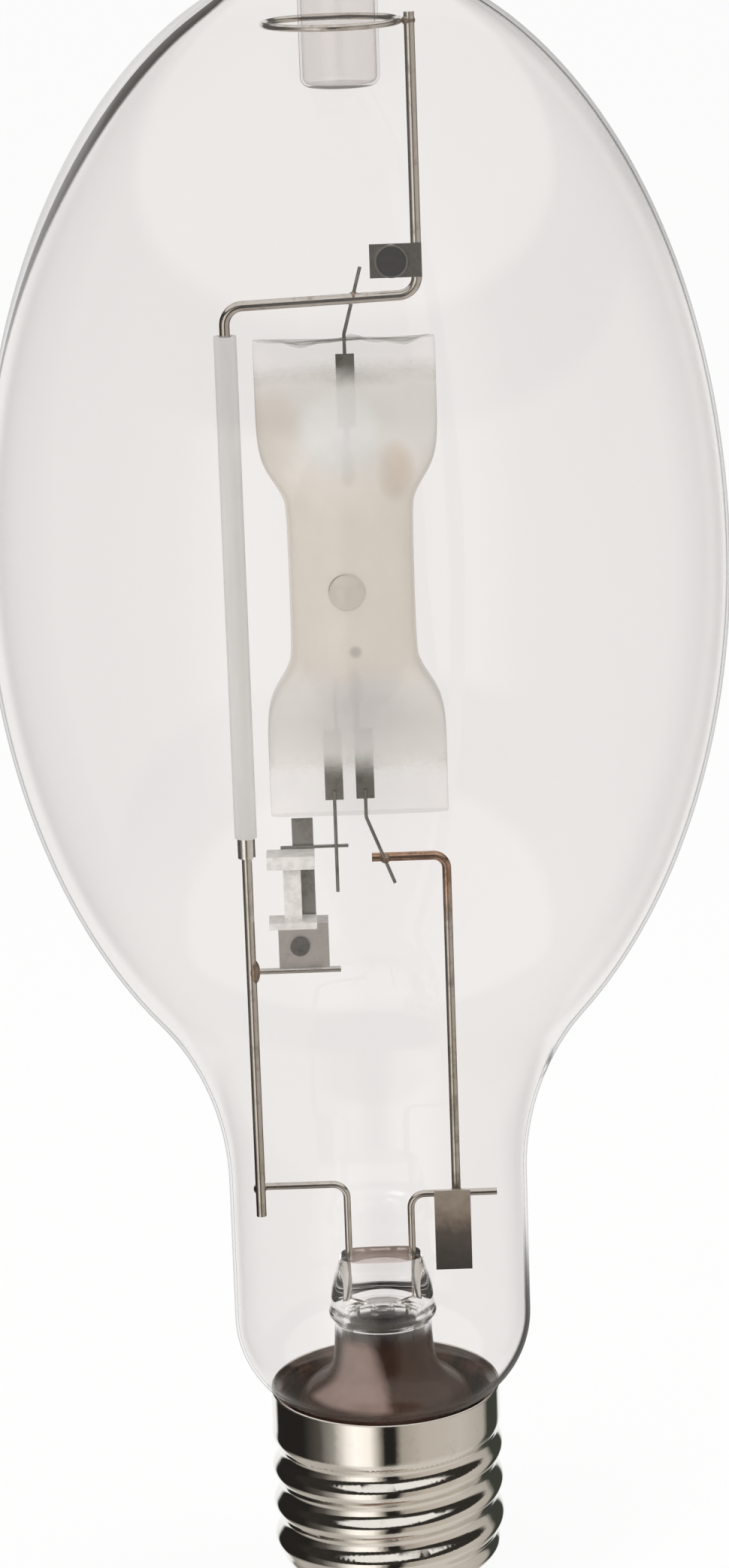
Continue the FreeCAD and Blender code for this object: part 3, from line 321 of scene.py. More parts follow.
# %% Floor
FLOOR_HALF = 12.0
FLOOR_GLOW = 0.88
floor_mesh = bmesh.new()
bmesh.ops.create_grid(floor_mesh, x_segments=1, y_segments=1, size=FLOOR_HALF)
floor_data = bpy.data.meshes.new("floor")
floor_mesh.to_mesh(floor_data)
floor_mesh.free()
floor = bpy.data.objects.new("floor", floor_data)
bpy.context.scene.collection.objects.link(floor)
floor_paint, paper = new_finish("floor_paper")
matt = paper.add("ShaderNodeBsdfDiffuse", inputs={"Color": (0.9, 0.9, 0.9)})
glow = paper.add("ShaderNodeEmission", inputs={"Color": WHITE, "Strength": 1.0})
paper.finish(paper.mix_shaders(paper.looked_at() * FLOOR_GLOW, matt, glow))
floor_data.materials.append(floor_paint)
floor.visible_glossy = False


# %% Lamps
def soft_lamp(name, place, aim, size, watts):
    """A square soft lamp that looks at a point, and that nothing reflects."""
    data = bpy.data.lights.new(name, "AREA")
    data.size = size
    data.energy = watts
    lamp = bpy.data.objects.new(name, data)
    turn = (Vector(aim) - Vector(place)).to_track_quat("-Z", "Y")
    lamp.matrix_world = Matrix.Translation(Vector(place)) @ turn.to_matrix().to_4x4()
    lamp.visible_glossy = False
    lamp.visible_camera = False
    bpy.context.scene.collection.objects.link(lamp)
    print(name, "watts:", watts)


soft_lamp("key_lamp", (-0.5, -0.7, 0.9), (0, 0, 0.15), 0.5, 4.0)
soft_lamp("fill_lamp", (0.8, -0.3, 0.6), (0, 0, 0.12), 0.6, 2.0)


# %% [markdown]
# ## Making pieces
# A new piece starts as a bmesh. Most glass is turned: its section is drawn once, as a line of
# points from the foot to the axis, and the spin operator carries it round. A Screw modifier would
# do that too, but a spun mesh can be shaped further in the same bmesh.

# %% Piece helpers
SMOOTH_BELOW = math.radians(40)
MERGE = 1e-6


def new_piece(name, shape, paints, stands_for):
    """Turns a bmesh into a finished piece that rides on the lamp's body and stands for CAD nodes."""
    data = bpy.data.meshes.new(name)
    shape.to_mesh(data)
    shape.free()
    piece = bpy.data.objects.new(name, data)
    bpy.context.scene.collection.objects.link(piece)
    for paint in paints:
        data.materials.append(paint)
    data.shade_smooth()
    data.set_sharp_from_angle(angle=SMOOTH_BELOW)
    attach(piece, "lamp")
    if stands_for:
        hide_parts(*stands_for)
    print(name, "faces:", len(data.polygons))


def add_turned(shape, section, steps, slot_index=0):
    """Spins a line of (radius, height) points, in millimetres, about the lamp's axis."""
    before = set(shape.verts)
    points = [shape.verts.new((radius * MM, 0, up * MM)) for radius, up in section]
    edges = [shape.edges.new(pair) for pair in zip(points, points[1:])]
    bmesh.ops.spin(
        shape,
        geom=points + edges,
        cent=(0, 0, 0),
        axis=(0, 0, 1),
        angle=2 * math.pi,
        steps=steps,
        use_merge=True,
    )
    added = [point for point in shape.verts if point not in before]
    bmesh.ops.remove_doubles(shape, verts=added, dist=MERGE)
    added = [point for point in shape.verts if point not in before]
    for face in shape.faces:
        if face.verts[0] not in before:
            face.material_index = slot_index
    return added


def close_rims(shape, inner_rim, outer_rim, steps):
    """Turns the flat ring between two open rims, and merges it with both."""
    add_turned(shape, [inner_rim, outer_rim], steps)
    rim_points = [point for point in shape.verts if point.is_boundary]
    bmesh.ops.remove_doubles(shape, verts=rim_points, dist=MERGE)


def arc_points(centre, radius, start, end, count):
    """Points along a circular arc, its first point left out."""
    points = []
    for index in range(1, count + 1):
        angle = start + (end - start) * index / count
        points.append((centre[0] + radius * math.cos(angle), centre[1] + radius * math.sin(angle)))
    return points


# %% [markdown]
# ## The bulb
# The bulb is blown glass: an egg of two half ellipses, a hollow curve into the neck, a round
# shoulder, and a dimple at the crown. A subdivided cage would only come near these curves, so the
# section is worked out from its sizes, and each curve meets the next without a kink. The wall is
# drawn thinner than the real millimetre, because that puts the two dark lines of its edge as close
# as they look.

# %% Bulb sizes
BULB_RADIUS = 60.3
BULB_CENTRE = 183.3
CROWN = 97.4
TAPER = 92.6
NECK_RADIUS = 25.0
NECK_CURVE = 47.7
SHOULDER = 16.0
SHOULDER_HEIGHT = 54.0
SEAL_RADIUS = 17.0
SEAL_CURVE = 2.5
SEAL_END = 25.0
DIMPLE_RADIUS = 6.3
DIMPLE_BOTTOM = 260.2
DIMPLE_CORNER = 1.6
LIP = 4.5
WALL = 0.45
TAPER_STEPS = 32
CROWN_STEPS = 40
NEAR_WAIST = 0.05
HALVINGS = 50


# %% Points beside an ellipse
def on_ellipse(radius, rise, angle, offset=0.0):
    """A point beside an upright ellipse, moved out along its normal."""
    across = math.cos(angle) / radius
    up = math.sin(angle) / rise
    length = math.hypot(across, up)
    return (
        radius * math.cos(angle) + offset * across / length,
        BULB_CENTRE + rise * math.sin(angle) + offset * up / length,
    )


def meeting_angle(radius, rise, offset, wanted, low, high):
    """Angle where the ellipse, moved out by offset, has the wanted distance from the axis."""
    for _ in range(HALVINGS):
        middle = (low + high) / 2
        if on_ellipse(radius, rise, middle, offset)[0] > wanted:
            low = middle
        else:
            high = middle
    return low


# %% One face of the bulb's wall
def bulb_section(inset):
    """One face of the bulb's wall, from the sealed end to the middle of the dimple."""
    waist = BULB_RADIUS - inset
    crown = CROWN - inset
    taper = TAPER - inset
    seal = SEAL_RADIUS - inset
    curve_x = SEAL_RADIUS + SEAL_CURVE
    shoulder_x = NECK_RADIUS - SHOULDER
    drop = math.sqrt((SHOULDER + SEAL_CURVE) ** 2 - (curve_x - shoulder_x) ** 2)
    lean = math.atan2(-drop, curve_x - shoulder_x)
    curve_centre = (curve_x, SHOULDER_HEIGHT - drop)
    section = [(seal, SEAL_END), (seal, curve_centre[1])]
    section += arc_points(curve_centre, SEAL_CURVE + inset, math.pi, lean + math.pi, count=6)
    section += arc_points((shoulder_x, SHOULDER_HEIGHT), SHOULDER - inset, lean, 0, count=16)
    hollow = NECK_CURVE + inset
    hollow_x = NECK_RADIUS + NECK_CURVE
    low = meeting_angle(waist, taper, hollow, hollow_x, -NEAR_WAIST, -math.pi / 2)
    centre = on_ellipse(waist, taper, low, hollow)
    touch = on_ellipse(waist, taper, low)
    slope = math.atan2(touch[1] - centre[1], touch[0] - centre[0])
    if slope < 0:
        slope += 2 * math.pi
    section.append((NECK_RADIUS - inset, (SHOULDER_HEIGHT + centre[1]) / 2))
    section.append((NECK_RADIUS - inset, centre[1]))
    section += arc_points(centre, hollow, math.pi, slope, count=16)
    for index in range(1, TAPER_STEPS + 1):
        section.append(on_ellipse(waist, taper, low * (1 - index / TAPER_STEPS)))
    tube = DIMPLE_RADIUS - WALL + inset
    lip = LIP - inset
    high = meeting_angle(waist, crown, -lip, tube + lip, NEAR_WAIST, math.pi / 2)
    for index in range(1, CROWN_STEPS + 1):
        section.append(on_ellipse(waist, crown, high * index / CROWN_STEPS))
    lip_centre = on_ellipse(waist, crown, high, -lip)
    touch = on_ellipse(waist, crown, high)
    slope = math.atan2(touch[1] - lip_centre[1], touch[0] - lip_centre[0])
    section += arc_points(lip_centre, lip, slope, math.pi, count=10)
    corner = DIMPLE_CORNER - WALL + inset
    bottom = DIMPLE_BOTTOM + WALL - inset
    section.append((tube, bottom + corner))
    section += arc_points((tube - corner, bottom + corner), corner, 0, -math.pi / 2, count=5)
    section.append((0, bottom))
    return section


outer_wall = bulb_section(0.0)
inner_wall = bulb_section(WALL)
print("bulb section points:", len(outer_wall), "top:", max(up for _, up in outer_wall))

# %% [markdown]
# ## Glass that lets the light in
# One shader that bends light could make the glass, but it would hide the wires from the lamps,
# because light can't be aimed through a lens. The bulb's wall is thin and hardly bends what is
# behind it, so it is made of three things in turn: a faint warm film, a painted grey shade that
# gathers where the wall is seen edge on, in place of the dark edge that bent light would give, and a
# mirror that grows stronger towards the edge.

# %% Clear glass
FILM_TINT = (0.974, 0.966, 0.963)
MIRROR_SHARE = 0.03
MIRROR_AT_EDGE = 0.5


def thin_glass(glass, edge, edge_shade_colour):
    """Shader for a thin clear wall whose painted grey edge shade is given as a mask."""
    facing = glass.facing()
    # Painted shade: this grey stands in for the dark edge of the wall, where bent light would show dark
    # things
    grey = glass.principled(Base_Color=edge_shade_colour, Roughness=0.4, Specular_IOR_Level=0.1)
    mirror = glass.principled(Base_Color=(0.97, 0.97, 0.96), Metallic=1.0, Roughness=0.02)
    body = glass.mix_shaders(edge, glass.clear(FILM_TINT), grey)
    shine = (MIRROR_SHARE + MIRROR_AT_EDGE * facing**7) * (1 - edge)
    return glass.mix_shaders(shine, body, mirror)


# %% [markdown]
# ## Two faces, two lines
# A real edge of glass shows two dark lines, one from each face of the wall, where it bends the
# light. Here both are painted shade, and one paint would make them alike, so each face gets its own.
# The outer one is a soft painted grey line all round, dark and wide at the foot of the neck on the
# right, with one short dash above the neck. The inner one is the thick crown's painted line, broad on
# the left and thin on the right, which fades down.

# %% Outer face of the bulb
outer_paint, glass = new_finish("bulb_outer_face")
place = glass.place()
across = glass.axis(place, "X")
rise = glass.axis(place, "Z")
foot = glass.mask(rise, 72 * MM, 52 * MM) * glass.mask(across, 6 * MM, 14 * MM)
wander = glass.noise(place, 30, 3)
facing = glass.facing()
on_crown = glass.mask(rise, 215 * MM, 250 * MM)
on_left = glass.mask(across, 10 * MM, -15 * MM) * on_crown
rim_starts = 0.80 + 0.04 * wander - 0.2 * on_crown
rim_line = glass.mask(facing, rim_starts, 1.0) * (0.34 + 0.25 * wander - 0.2 * on_left)
low_foot = glass.mask(rise, 56 * MM, 47 * MM)
foot_line = glass.mask(facing + 0.03 * low_foot, 0.72, 0.80) * foot
tick = glass.spot(place, (30.2, 98.2), (3.4, 1.9)) * glass.mask(facing, 0.76, 0.84)
# Painted shade: these grey lines stand in for the dark edges of the outer wall
painted_edge_shade = glass.most(rim_line, glass.most(foot_line, tick))
glass.finish(thin_glass(glass, painted_edge_shade, (0.06, 0.055, 0.05)))

# %% Inner face of the bulb
inner_paint, glass = new_finish("bulb_inner_face")
place = glass.place()
across = glass.axis(place, "X")
rise = glass.axis(place, "Z")
wander = glass.noise(place, 22, 3)
left = glass.mask(across, 5 * MM, -25 * MM)
crown = glass.mask(rise, 190 * MM, 266 * MM)
widen = glass.mask(rise, 206 * MM, 262 * MM) * (0.02 + 0.14 * left)
depth = 0.32 + 0.25 * wander + 0.45 * crown
facing = glass.facing()
# Painted shade: the dark line of the thick crown's edge, broad on the left and fading down
painted_crown_shade = glass.mask(facing + widen, 0.89, 0.94) * depth + 0.01 * crown
glass.finish(thin_glass(glass, painted_crown_shade, (0.055, 0.048, 0.040)))

# %% [markdown]
# ## Blow the bulb
# Both faces are spun from their sections. Blown glass isn't even: here the crown froze first and
# stayed thick, most of all at the top left. A section can't say that, because a turned shape is the
# same all round, so after the spin the inner points of the crown are moved in and a little to the
# right. Then a flat ring is turned between the two open rims at the seal. Bridging them would be
# shorter, but two rims at one height can be bridged crosswise.

# %% The bulb as one turned piece
BULB_STEPS = 192
CROWN_THICKER = 0.65
CROWN_SHIFT = 0.60
CROWN_STARTS = 208.0
CROWN_FULL = 268.0
DIMPLE_CLEAR = 12.0
CROWN_DIP = 0.6


def smooth(value, low, high):
    share = min(1.0, max(0.0, (value - low) / (high - low)))
    return share * share * (3 - 2 * share)


def thicken_crown(inner_points):
    """Moves the inner face of the crown inwards and to the right, where the dimple doesn't start yet."""
    for point in inner_points:
        radius = math.hypot(point.co.x, point.co.y) / MM
        share = smooth(point.co.z / MM, CROWN_STARTS, CROWN_FULL)
        share *= smooth(radius, DIMPLE_CLEAR, 2 * DIMPLE_CLEAR)
        if share > 0:
            inward = Vector((-point.co.x, -point.co.y, -CROWN_DIP * radius * MM)).normalized()
            point.co += inward * (CROWN_THICKER * share * MM)
            point.co.x += CROWN_SHIFT * share * MM


bulb = bmesh.new()
inner_points = add_turned(bulb, inner_wall, BULB_STEPS, 1)
thicken_crown(inner_points)
add_turned(bulb, outer_wall, BULB_STEPS, 0)
close_rims(bulb, inner_wall[0], outer_wall[0], BULB_STEPS)
bmesh.ops.recalc_face_normals(bulb, faces=bulb.faces)
new_piece("blown_bulb", bulb, [outer_paint, inner_paint], ["glass_envelope"])


# %% [markdown]
# ## Metals
# Wire, strip and foil are one recipe with other numbers: a base colour with cloudy stains,
# roughness that follows the drawing marks, and a fine bump along the wire. Noise on object
# coordinates needs no unwrapping, and runs on from one piece to the next.

# %% Metal recipe
ROUND = (1.0, 1.0, 0.08)
FLAT = (0.15, 1.0, 1.0)


def metal(name, colour, stain, stain_share, roughness, grain=ROUND, grain_mm=0.25, depth_mm=0.004):
    """Drawn or rolled metal. Stains cover about the given share of it."""
    paint, skin = new_finish(name)
    place = skin.place()
    clouds = skin.noise(place, 3.0, 5, 0.65)
    marks = skin.noise(skin.stretched(place, grain), grain_mm, 3)
    stained = skin.mask(clouds, 0.66 - stain_share * 0.5, 0.90 - stain_share * 0.4)
    tone = skin.blend(stained, colour, stain)
    rough = roughness + 0.10 * (marks - 0.5) + 0.12 * stained
    relief = skin.bump(marks, depth_mm)
    skin.finish(skin.principled(Base_Color=tone, Metallic=1.0, Roughness=rough, Normal=relief))
    return paint


finishes = {
    "rod_steel": metal("frame_wire", (0.66, 0.64, 0.60), (0.40, 0.37, 0.33), 0.35, 0.14, ROUND),
    "lead_steel": metal("lead_wire", (0.66, 0.64, 0.60), (0.42, 0.38, 0.34), 0.35, 0.16, ROUND),
    "clip_steel": metal("clip_strip", (0.86, 0.85, 0.82), (0.60, 0.58, 0.55), 0.25, 0.12, ROUND),
    "plate_steel": metal("getter_holder", (0.22, 0.215, 0.20), (0.11, 0.10, 0.095), 0.45, 0.35, FLAT),
    "cup_steel": metal("getter_ring", (0.80, 0.79, 0.76), (0.55, 0.54, 0.51), 0.2, 0.22, FLAT),
    "foil_metal": metal("seal_foil", (0.34, 0.335, 0.32), (0.20, 0.195, 0.18), 0.4, 0.40, FLAT, 0.5),
    "fine_lead_metal": metal("fine_lead", (0.30, 0.29, 0.28), (0.15, 0.145, 0.14), 0.4, 0.30, ROUND),
    "tungsten": metal("electrode_metal", (0.34, 0.34, 0.35), (0.20, 0.20, 0.21), 0.3, 0.35, ROUND),
    "switch_steel": metal("switch_support", (0.66, 0.65, 0.62), (0.46, 0.45, 0.43), 0.3, 0.25, FLAT),
    "bracket_steel": metal("switch_sheet", (0.84, 0.83, 0.83), (0.64, 0.63, 0.63), 0.4, 0.38, FLAT, 0.5),
    "rivet_steel": metal("rivet_head", (0.24, 0.24, 0.245), (0.12, 0.12, 0.125), 0.5, 0.40, FLAT),
    "bimetal": metal("bimetal_sheet", (0.40, 0.395, 0.385), (0.22, 0.22, 0.215), 0.4, 0.42, ROUND),
    "contact_brass": metal("brass_contact", (0.72, 0.52, 0.26), (0.40, 0.28, 0.15), 0.4, 0.30, FLAT),
    "solder": metal("solder_drop", (0.60, 0.60, 0.61), (0.40, 0.40, 0.42), 0.5, 0.40, FLAT),
    "nickel_shell": metal(
        "nickel_plate", (0.84, 0.82, 0.78), (0.74, 0.71, 0.66), 0.20, 0.07, (0.4, 0.4, 1.0), 0.6, 0.002
    ),
}


# %% [markdown]
# ## Metals changed by heat
# The return rod is steel that turns to copper at its upper end, where the arc tube's lead is welded
# on. The flag strip is blued and browned by heat, darker towards its foot. Two slots on each would
# leave a hard line, so both blend their colours by height.

# %% Return rod
COPPER_FROM = 118
COPPER_TO = 132
return_paint, skin = new_finish("return_wire")
place = skin.place()
clouds = skin.noise(place, 3.0, 5, 0.65)
warm = skin.mask(skin.axis(place, "Z"), COPPER_FROM * MM, COPPER_TO * MM)
steel = skin.blend(skin.mask(clouds, 0.45, 0.7), (0.62, 0.59, 0.54), (0.36, 0.32, 0.28))
copper = skin.blend(skin.mask(clouds, 0.4, 0.65), (0.56, 0.36, 0.25), (0.28, 0.16, 0.10))
tone = skin.blend(warm, steel, copper)
skin.finish(skin.principled(Base_Color=tone, Metallic=1.0, Roughness=0.14 + 0.14 * clouds))
finishes["return_steel"] = return_paint


# %% Flag strip
def flag_finish():
    paint, skin = new_finish("heat_stained_strip")
    place = skin.place()
    low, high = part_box("getter_flag")
    rise = skin.mask(skin.axis(place, "Z"), low.z, high.z)
    clouds = skin.noise(place, 2.2, 5, 0.65)
    tone = skin.ramp(
        rise + (clouds - 0.5) * 0.55,
        [
            (0.0, (0.05, 0.045, 0.043)),
            (0.45, (0.12, 0.10, 0.09)),
            (0.75, (0.34, 0.28, 0.23)),
            (1.0, (0.50, 0.44, 0.38)),
        ],
    )
    skin.finish(skin.principled(Base_Color=tone, Metallic=0.85, Roughness=0.36 + 0.25 * clouds))
    return paint


finishes["flag_metal"] = flag_finish()


# %% [markdown]
# ## Dull materials
# The spool is glazed ceramic, the cement is brown and crumbly, the insulator is black glass and the
# getter is black powder. Four separate trees would repeat the same nodes, so one recipe makes them
# all: two close colours in clouds, a fine relief, and a coat where glazed.

# %% Ceramic, cement, black glass and powder
def dull(name, colour, shade, size_mm, roughness, depth_mm, coat=0.0):
    """A matt or glazed material with a speckled colour."""
    paint, skin = new_finish(name)
    place = skin.place()
    clouds = skin.noise(place, size_mm, 4, 0.6)
    tone = skin.blend(skin.mask(clouds, 0.35, 0.65), shade, colour)
    fine = skin.noise(place, size_mm / 6, 3)
    rough = roughness + 0.15 * (fine - 0.5)
    relief = skin.bump(fine, depth_mm)
    skin.finish(skin.principled(Base_Color=tone, Roughness=rough, Coat_Weight=coat, Normal=relief))
    return paint


finishes["spool_ceramic"] = dull(
    "glazed_ceramic", (0.84, 0.83, 0.81), (0.68, 0.67, 0.65), 1.6, 0.3, 0.03, 0.4
)
finishes["brown_cement"] = dull(
    "basing_cement", (0.15, 0.070, 0.038), (0.035, 0.018, 0.011), 5.0, 0.55, 0.15, 0.1
)
finishes["black_glass"] = dull(
    "black_insulator", (0.012, 0.012, 0.014), (0.02, 0.02, 0.022), 5.0, 0.12, 0.02, 0.3
)
finishes["getter_black"] = dull(
    "getter_powder", (0.014, 0.011, 0.009), (0.006, 0.005, 0.004), 0.8, 0.95, 0.04
)


# %% [markdown]
# ## The milky sleeve
# The sleeve on the long rod is quartz tube with a frosted skin. Rough refraction could show that,
# but it is slow and grainy. A mix of clear and a matt coated white lets some light through as well,
# cloudy along its length.

# %% Sleeve
def sleeve_finish():
    paint, glass = new_finish("milky_sleeve")
    place = glass.place()
    clouds = glass.noise(glass.stretched(place, (1.0, 1.0, 0.2)), 5, 3)
    tone = glass.blend(clouds, (0.74, 0.755, 0.75), (0.86, 0.86, 0.85))
    skin = glass.principled(Base_Color=tone, Roughness=0.35, Coat_Weight=0.3)
    glass.finish(glass.mix_shaders(0.55 + 0.2 * clouds, glass.clear(), skin))
    return paint


finishes["sleeve_quartz"] = sleeve_finish()


# %% [markdown]
# ## The arc tube
# A quartz pipe is heated, its ends are pinched flat over foil seals, and the filling tube is tipped
# off in front. A spin can't make the flat ends, and pipe and bars joined by a boolean would leave
# hard seams, so the outside is one loft of rings from round to flat, and only the chamber inside is
# turned. The cut of the upper pinch is left wavy by the pincers.

# %% Arc tube sizes
ARC_X = -0.9
ARC_RADIUS = 10.15
ARC_WALL = 1.2
BODY_FOOT = 168.0
BODY_HEAD = 194.0
PINCH_WIDTH = 14.6
PINCH_DEPTH = 1.9
PINCH_SQUARENESS = 4.6
UPPER_CUT = 220.0
LOWER_CUT = 141.6
CUT_EDGE = 0.5
CUT_NARROWER = 0.1
CUT_THINNER = 0.4
# Rise above the body, share of the way to the pinch in width and in depth, squareness
PINCH_FORM = [
    (-2.0, 0.0, 0.0, 2.0),
    (0.6, 0.07, 0.02, 2.0),
    (3.0, 0.39, 0.12, 2.1),
    (5.6, 0.77, 0.30, 2.3),
    (8.6, 0.95, 0.54, 2.7),
    (12.0, 1.0, 0.83, 3.4),
    (16.0, 1.0, 0.97, 4.2),
    (21.0, 1.0, 1.0, PINCH_SQUARENESS),
]


# %% Rings between an ellipse and a rounded bar
RING_POINTS = 72
# The wavy cut is two waves across the width, in radians per millimetre
LONG_WAVE = 0.42
SHORT_WAVE = 1.1
WAVE_START = 1.1
WAVE_DROP = 0.35


def spline_rows(rows, steps):
    """Rows of numbers along a smooth curve that the given rows pull."""
    padded = [rows[0]] * 2 + rows + [rows[-1]] * 2
    curve = []
    for start in range(len(padded) - 3):
        for step in range(steps):
            way = step / steps
            pulls = (
                (1 - way) ** 3 / 6,
                (3 * way**3 - 6 * way**2 + 4) / 6,
                (-3 * way**3 + 3 * way**2 + 3 * way + 1) / 6,
                way**3 / 6,
            )
            columns = zip(*padded[start : start + 4])
            curve.append(tuple(sum(map(operator.mul, pulls, column)) for column in columns))
    return curve + [rows[-1]]


def squared_ring(shape, centre_x, height, half_width, half_depth, power, wave=0.0):
    """A ring of points. The wave lifts and drops it across the width."""
    ring = []
    for index in range(RING_POINTS):
        angle = 2 * math.pi * index / RING_POINTS
        across = math.cos(angle)
        depth = math.sin(angle)
        reach = (abs(across) ** power + abs(depth) ** power) ** (-1 / power)
        x = half_width * reach * across
        y = half_depth * reach * depth
        ripple = math.sin(LONG_WAVE * x + WAVE_START) + 0.5 * math.sin(SHORT_WAVE * x)
        lift = wave * ripple - WAVE_DROP * wave
        ring.append(shape.verts.new(((centre_x + x) * MM, y * MM, (height + lift) * MM)))
    return ring


def loft(shape, rings, closed_ends):
    """Bridges each ring of points to the next, and puts a face over the ends that are closed."""
    loops = []
    for ring in rings:
        loops.append([shape.edges.new(pair) for pair in zip(ring, ring[1:] + ring[:1])])
    for low, high in zip(loops, loops[1:]):
        bmesh.ops.bridge_loops(shape, edges=low + high)
    for end in closed_ends:
        shape.faces.new(rings[end])


# %% Quartz body with its chamber and its sealed tip
EDGE_WAVE = 0.55
NUB_RADIUS = 3.0
NUB_PROUD = 1.9
NUB_SUNK = 1.2
NUB_FLATNESS = 0.7
NUB_X = -1.75
NUB_HEIGHT = 180.8
CHAMBER_START = 2.0
CHAMBER_DOME = 11.8


def pinch_rows(base, direction, cut):
    """Height, half width, half depth and squareness from the body out to the cut end of a pinch."""
    reach = abs(cut - base)
    rows = []
    for rise, width_share, depth_share, power in PINCH_FORM:
        if rise < reach - 1:
            wide = ARC_RADIUS + (PINCH_WIDTH - ARC_RADIUS) * width_share
            deep = ARC_RADIUS + (PINCH_DEPTH - ARC_RADIUS) * depth_share
            rows.append((base + direction * rise, wide, deep, power))
    rows.append((cut - CUT_EDGE * direction, PINCH_WIDTH, PINCH_DEPTH, PINCH_SQUARENESS))
    rows.append((cut, PINCH_WIDTH - CUT_NARROWER, PINCH_DEPTH - CUT_THINNER, PINCH_SQUARENESS))
    return rows


arc_tube = bmesh.new()
profile = pinch_rows(BODY_FOOT, -1, LOWER_CUT)[::-1] + pinch_rows(BODY_HEAD, 1, UPPER_CUT)
rings = []
for height, wide, deep, power in spline_rows(profile, 5):
    wave = EDGE_WAVE * smooth(height, UPPER_CUT - 4, UPPER_CUT)
    rings.append(squared_ring(arc_tube, ARC_X, height, wide, deep, power, wave))
loft(arc_tube, rings, [0, -1])
bore = ARC_RADIUS - ARC_WALL
low_level = BODY_FOOT + CHAMBER_START
high_level = BODY_HEAD - CHAMBER_START
quarter = [math.pi / 2 * index / 12 for index in range(13)]
chamber = [(bore * math.cos(turn), low_level - CHAMBER_DOME * math.sin(turn)) for turn in reversed(quarter)]
chamber += [(bore * math.cos(turn), high_level + CHAMBER_DOME * math.sin(turn)) for turn in quarter]
chamber_points = add_turned(arc_tube, chamber, 48, 1)
bmesh.ops.translate(arc_tube, verts=chamber_points, vec=(ARC_X * MM, 0, 0))
print("arc tube rings:", len(rings))
bmesh.ops.recalc_face_normals(arc_tube, faces=arc_tube.faces)
void_faces = [face for face in arc_tube.faces if face.material_index == 1]
bmesh.ops.reverse_faces(arc_tube, faces=void_faces)

# %% [markdown]
# ## The sealed tip
# The tube was filled through a small pipe in front, which was melted off. What stays is a flat
# round button, half sunk in the wall. A squashed ball would do in front but not at the foot, which
# is straight, so the section is spun upright and then turned to face forwards.

# %% Sealed tip of the filling tube
nub = [(0.0, -NUB_SUNK), (NUB_RADIUS, -NUB_SUNK)]
nub += [(NUB_RADIUS * math.cos(turn), NUB_RADIUS * NUB_FLATNESS * math.sin(turn)) for turn in quarter]
nub_points = add_turned(arc_tube, nub, 32, 2)
turn_forward = Matrix.Rotation(math.pi / 2, 4, "X")
nub_depth = ARC_RADIUS + NUB_PROUD - NUB_RADIUS * NUB_FLATNESS
nub_place = Matrix.Translation((NUB_X * MM, -nub_depth * MM, NUB_HEIGHT * MM))
bmesh.ops.transform(arc_tube, matrix=nub_place @ turn_forward, verts=nub_points)
nub_faces = [face for face in arc_tube.faces if face.material_index == 2]
bmesh.ops.recalc_face_normals(arc_tube, faces=nub_faces)


# %% [markdown]
# ## Quartz, coat and stains
# The quartz is clear at the cuts. A greyish coat covers the ends to keep them hot, with a painted
# highlight on the upper dome, the body is creamy, and heat left tan stains. Where the quartz is seen
# edge on, a painted grey shade stands in for its dark edge. Slots on the faces would give each a hard
# border, so masks along the height and soft spots place the tones. The cover says how much of the
# coat hides what is behind.

# %% Quartz finishes
quartz_paint, glass = new_finish("arc_tube_quartz")
place = glass.place()
clouds = glass.noise(place, 9, 5, 0.6)
rise = glass.axis(place, "Z") / MM + 5 * (clouds - 0.5)
upper = glass.mask(rise, 195, 203) * glass.mask(rise, 217, 212.5)
lower = glass.mask(rise, 170, 163) * glass.mask(rise, 147.5, 152.5)
middle = glass.mask(rise, 163, 170) * glass.mask(rise, 203, 195)
tan_stain = glass.spot(place, (6.8, 199.5), (3.6, 5.5)) * (clouds + 0.1)
stains = tan_stain + glass.spot(place, (-13, 206), (6, 8)) * 0.3
# Painted highlight: a pale bluish spot where the upper dome catches the light
painted_dome_highlight = glass.spot(place, (-2.2, 206.0), (7.5, 7.5))
vee = glass.spot(place, (0.0, 160.0), (9.0, 12.0))
front = glass.mask(glass.axis(place, "Y"), 0, -4 * MM)
dot = glass.spot(place, (-0.7, 171.0), (1.3, 1.3)) * front
tone = glass.blend(middle, (0.78, 0.77, 0.735), (0.92, 0.865, 0.775))
tone = glass.blend(painted_dome_highlight, tone, (0.86, 0.87, 0.86))
tone = glass.blend(vee * lower, tone, (0.80, 0.79, 0.77))
tone = glass.blend(stains, tone, (0.60, 0.49, 0.37))
tone = glass.blend(dot * 0.6, tone, (0.42, 0.41, 0.38))
cover = (upper + lower) * (0.66 + 0.2 * clouds)
cover = cover + middle * (0.58 + 0.15 * clouds) + 0.04
milk = glass.principled(Base_Color=tone, Roughness=0.5, Normal=glass.bump(clouds, 0.2))
shine = 0.03 + 0.5 * glass.facing() ** 4
mirror = glass.principled(Base_Color=(0.95, 0.95, 0.94), Metallic=1.0, Roughness=0.25)
# Painted shade: grey where the quartz is seen edge on, in place of its dark refracted edge
edge_shade_grey = glass.principled(Base_Color=(0.30, 0.28, 0.25), Roughness=0.4)
milky = glass.mix_shaders(cover, glass.clear((0.985, 0.98, 0.975)), milk)
with_edge_shade = glass.mix_shaders(glass.mask(glass.facing(), 0.80, 1.0) * 0.6, milky, edge_shade_grey)
glass.finish(glass.mix_shaders(shine, with_edge_shade, mirror))

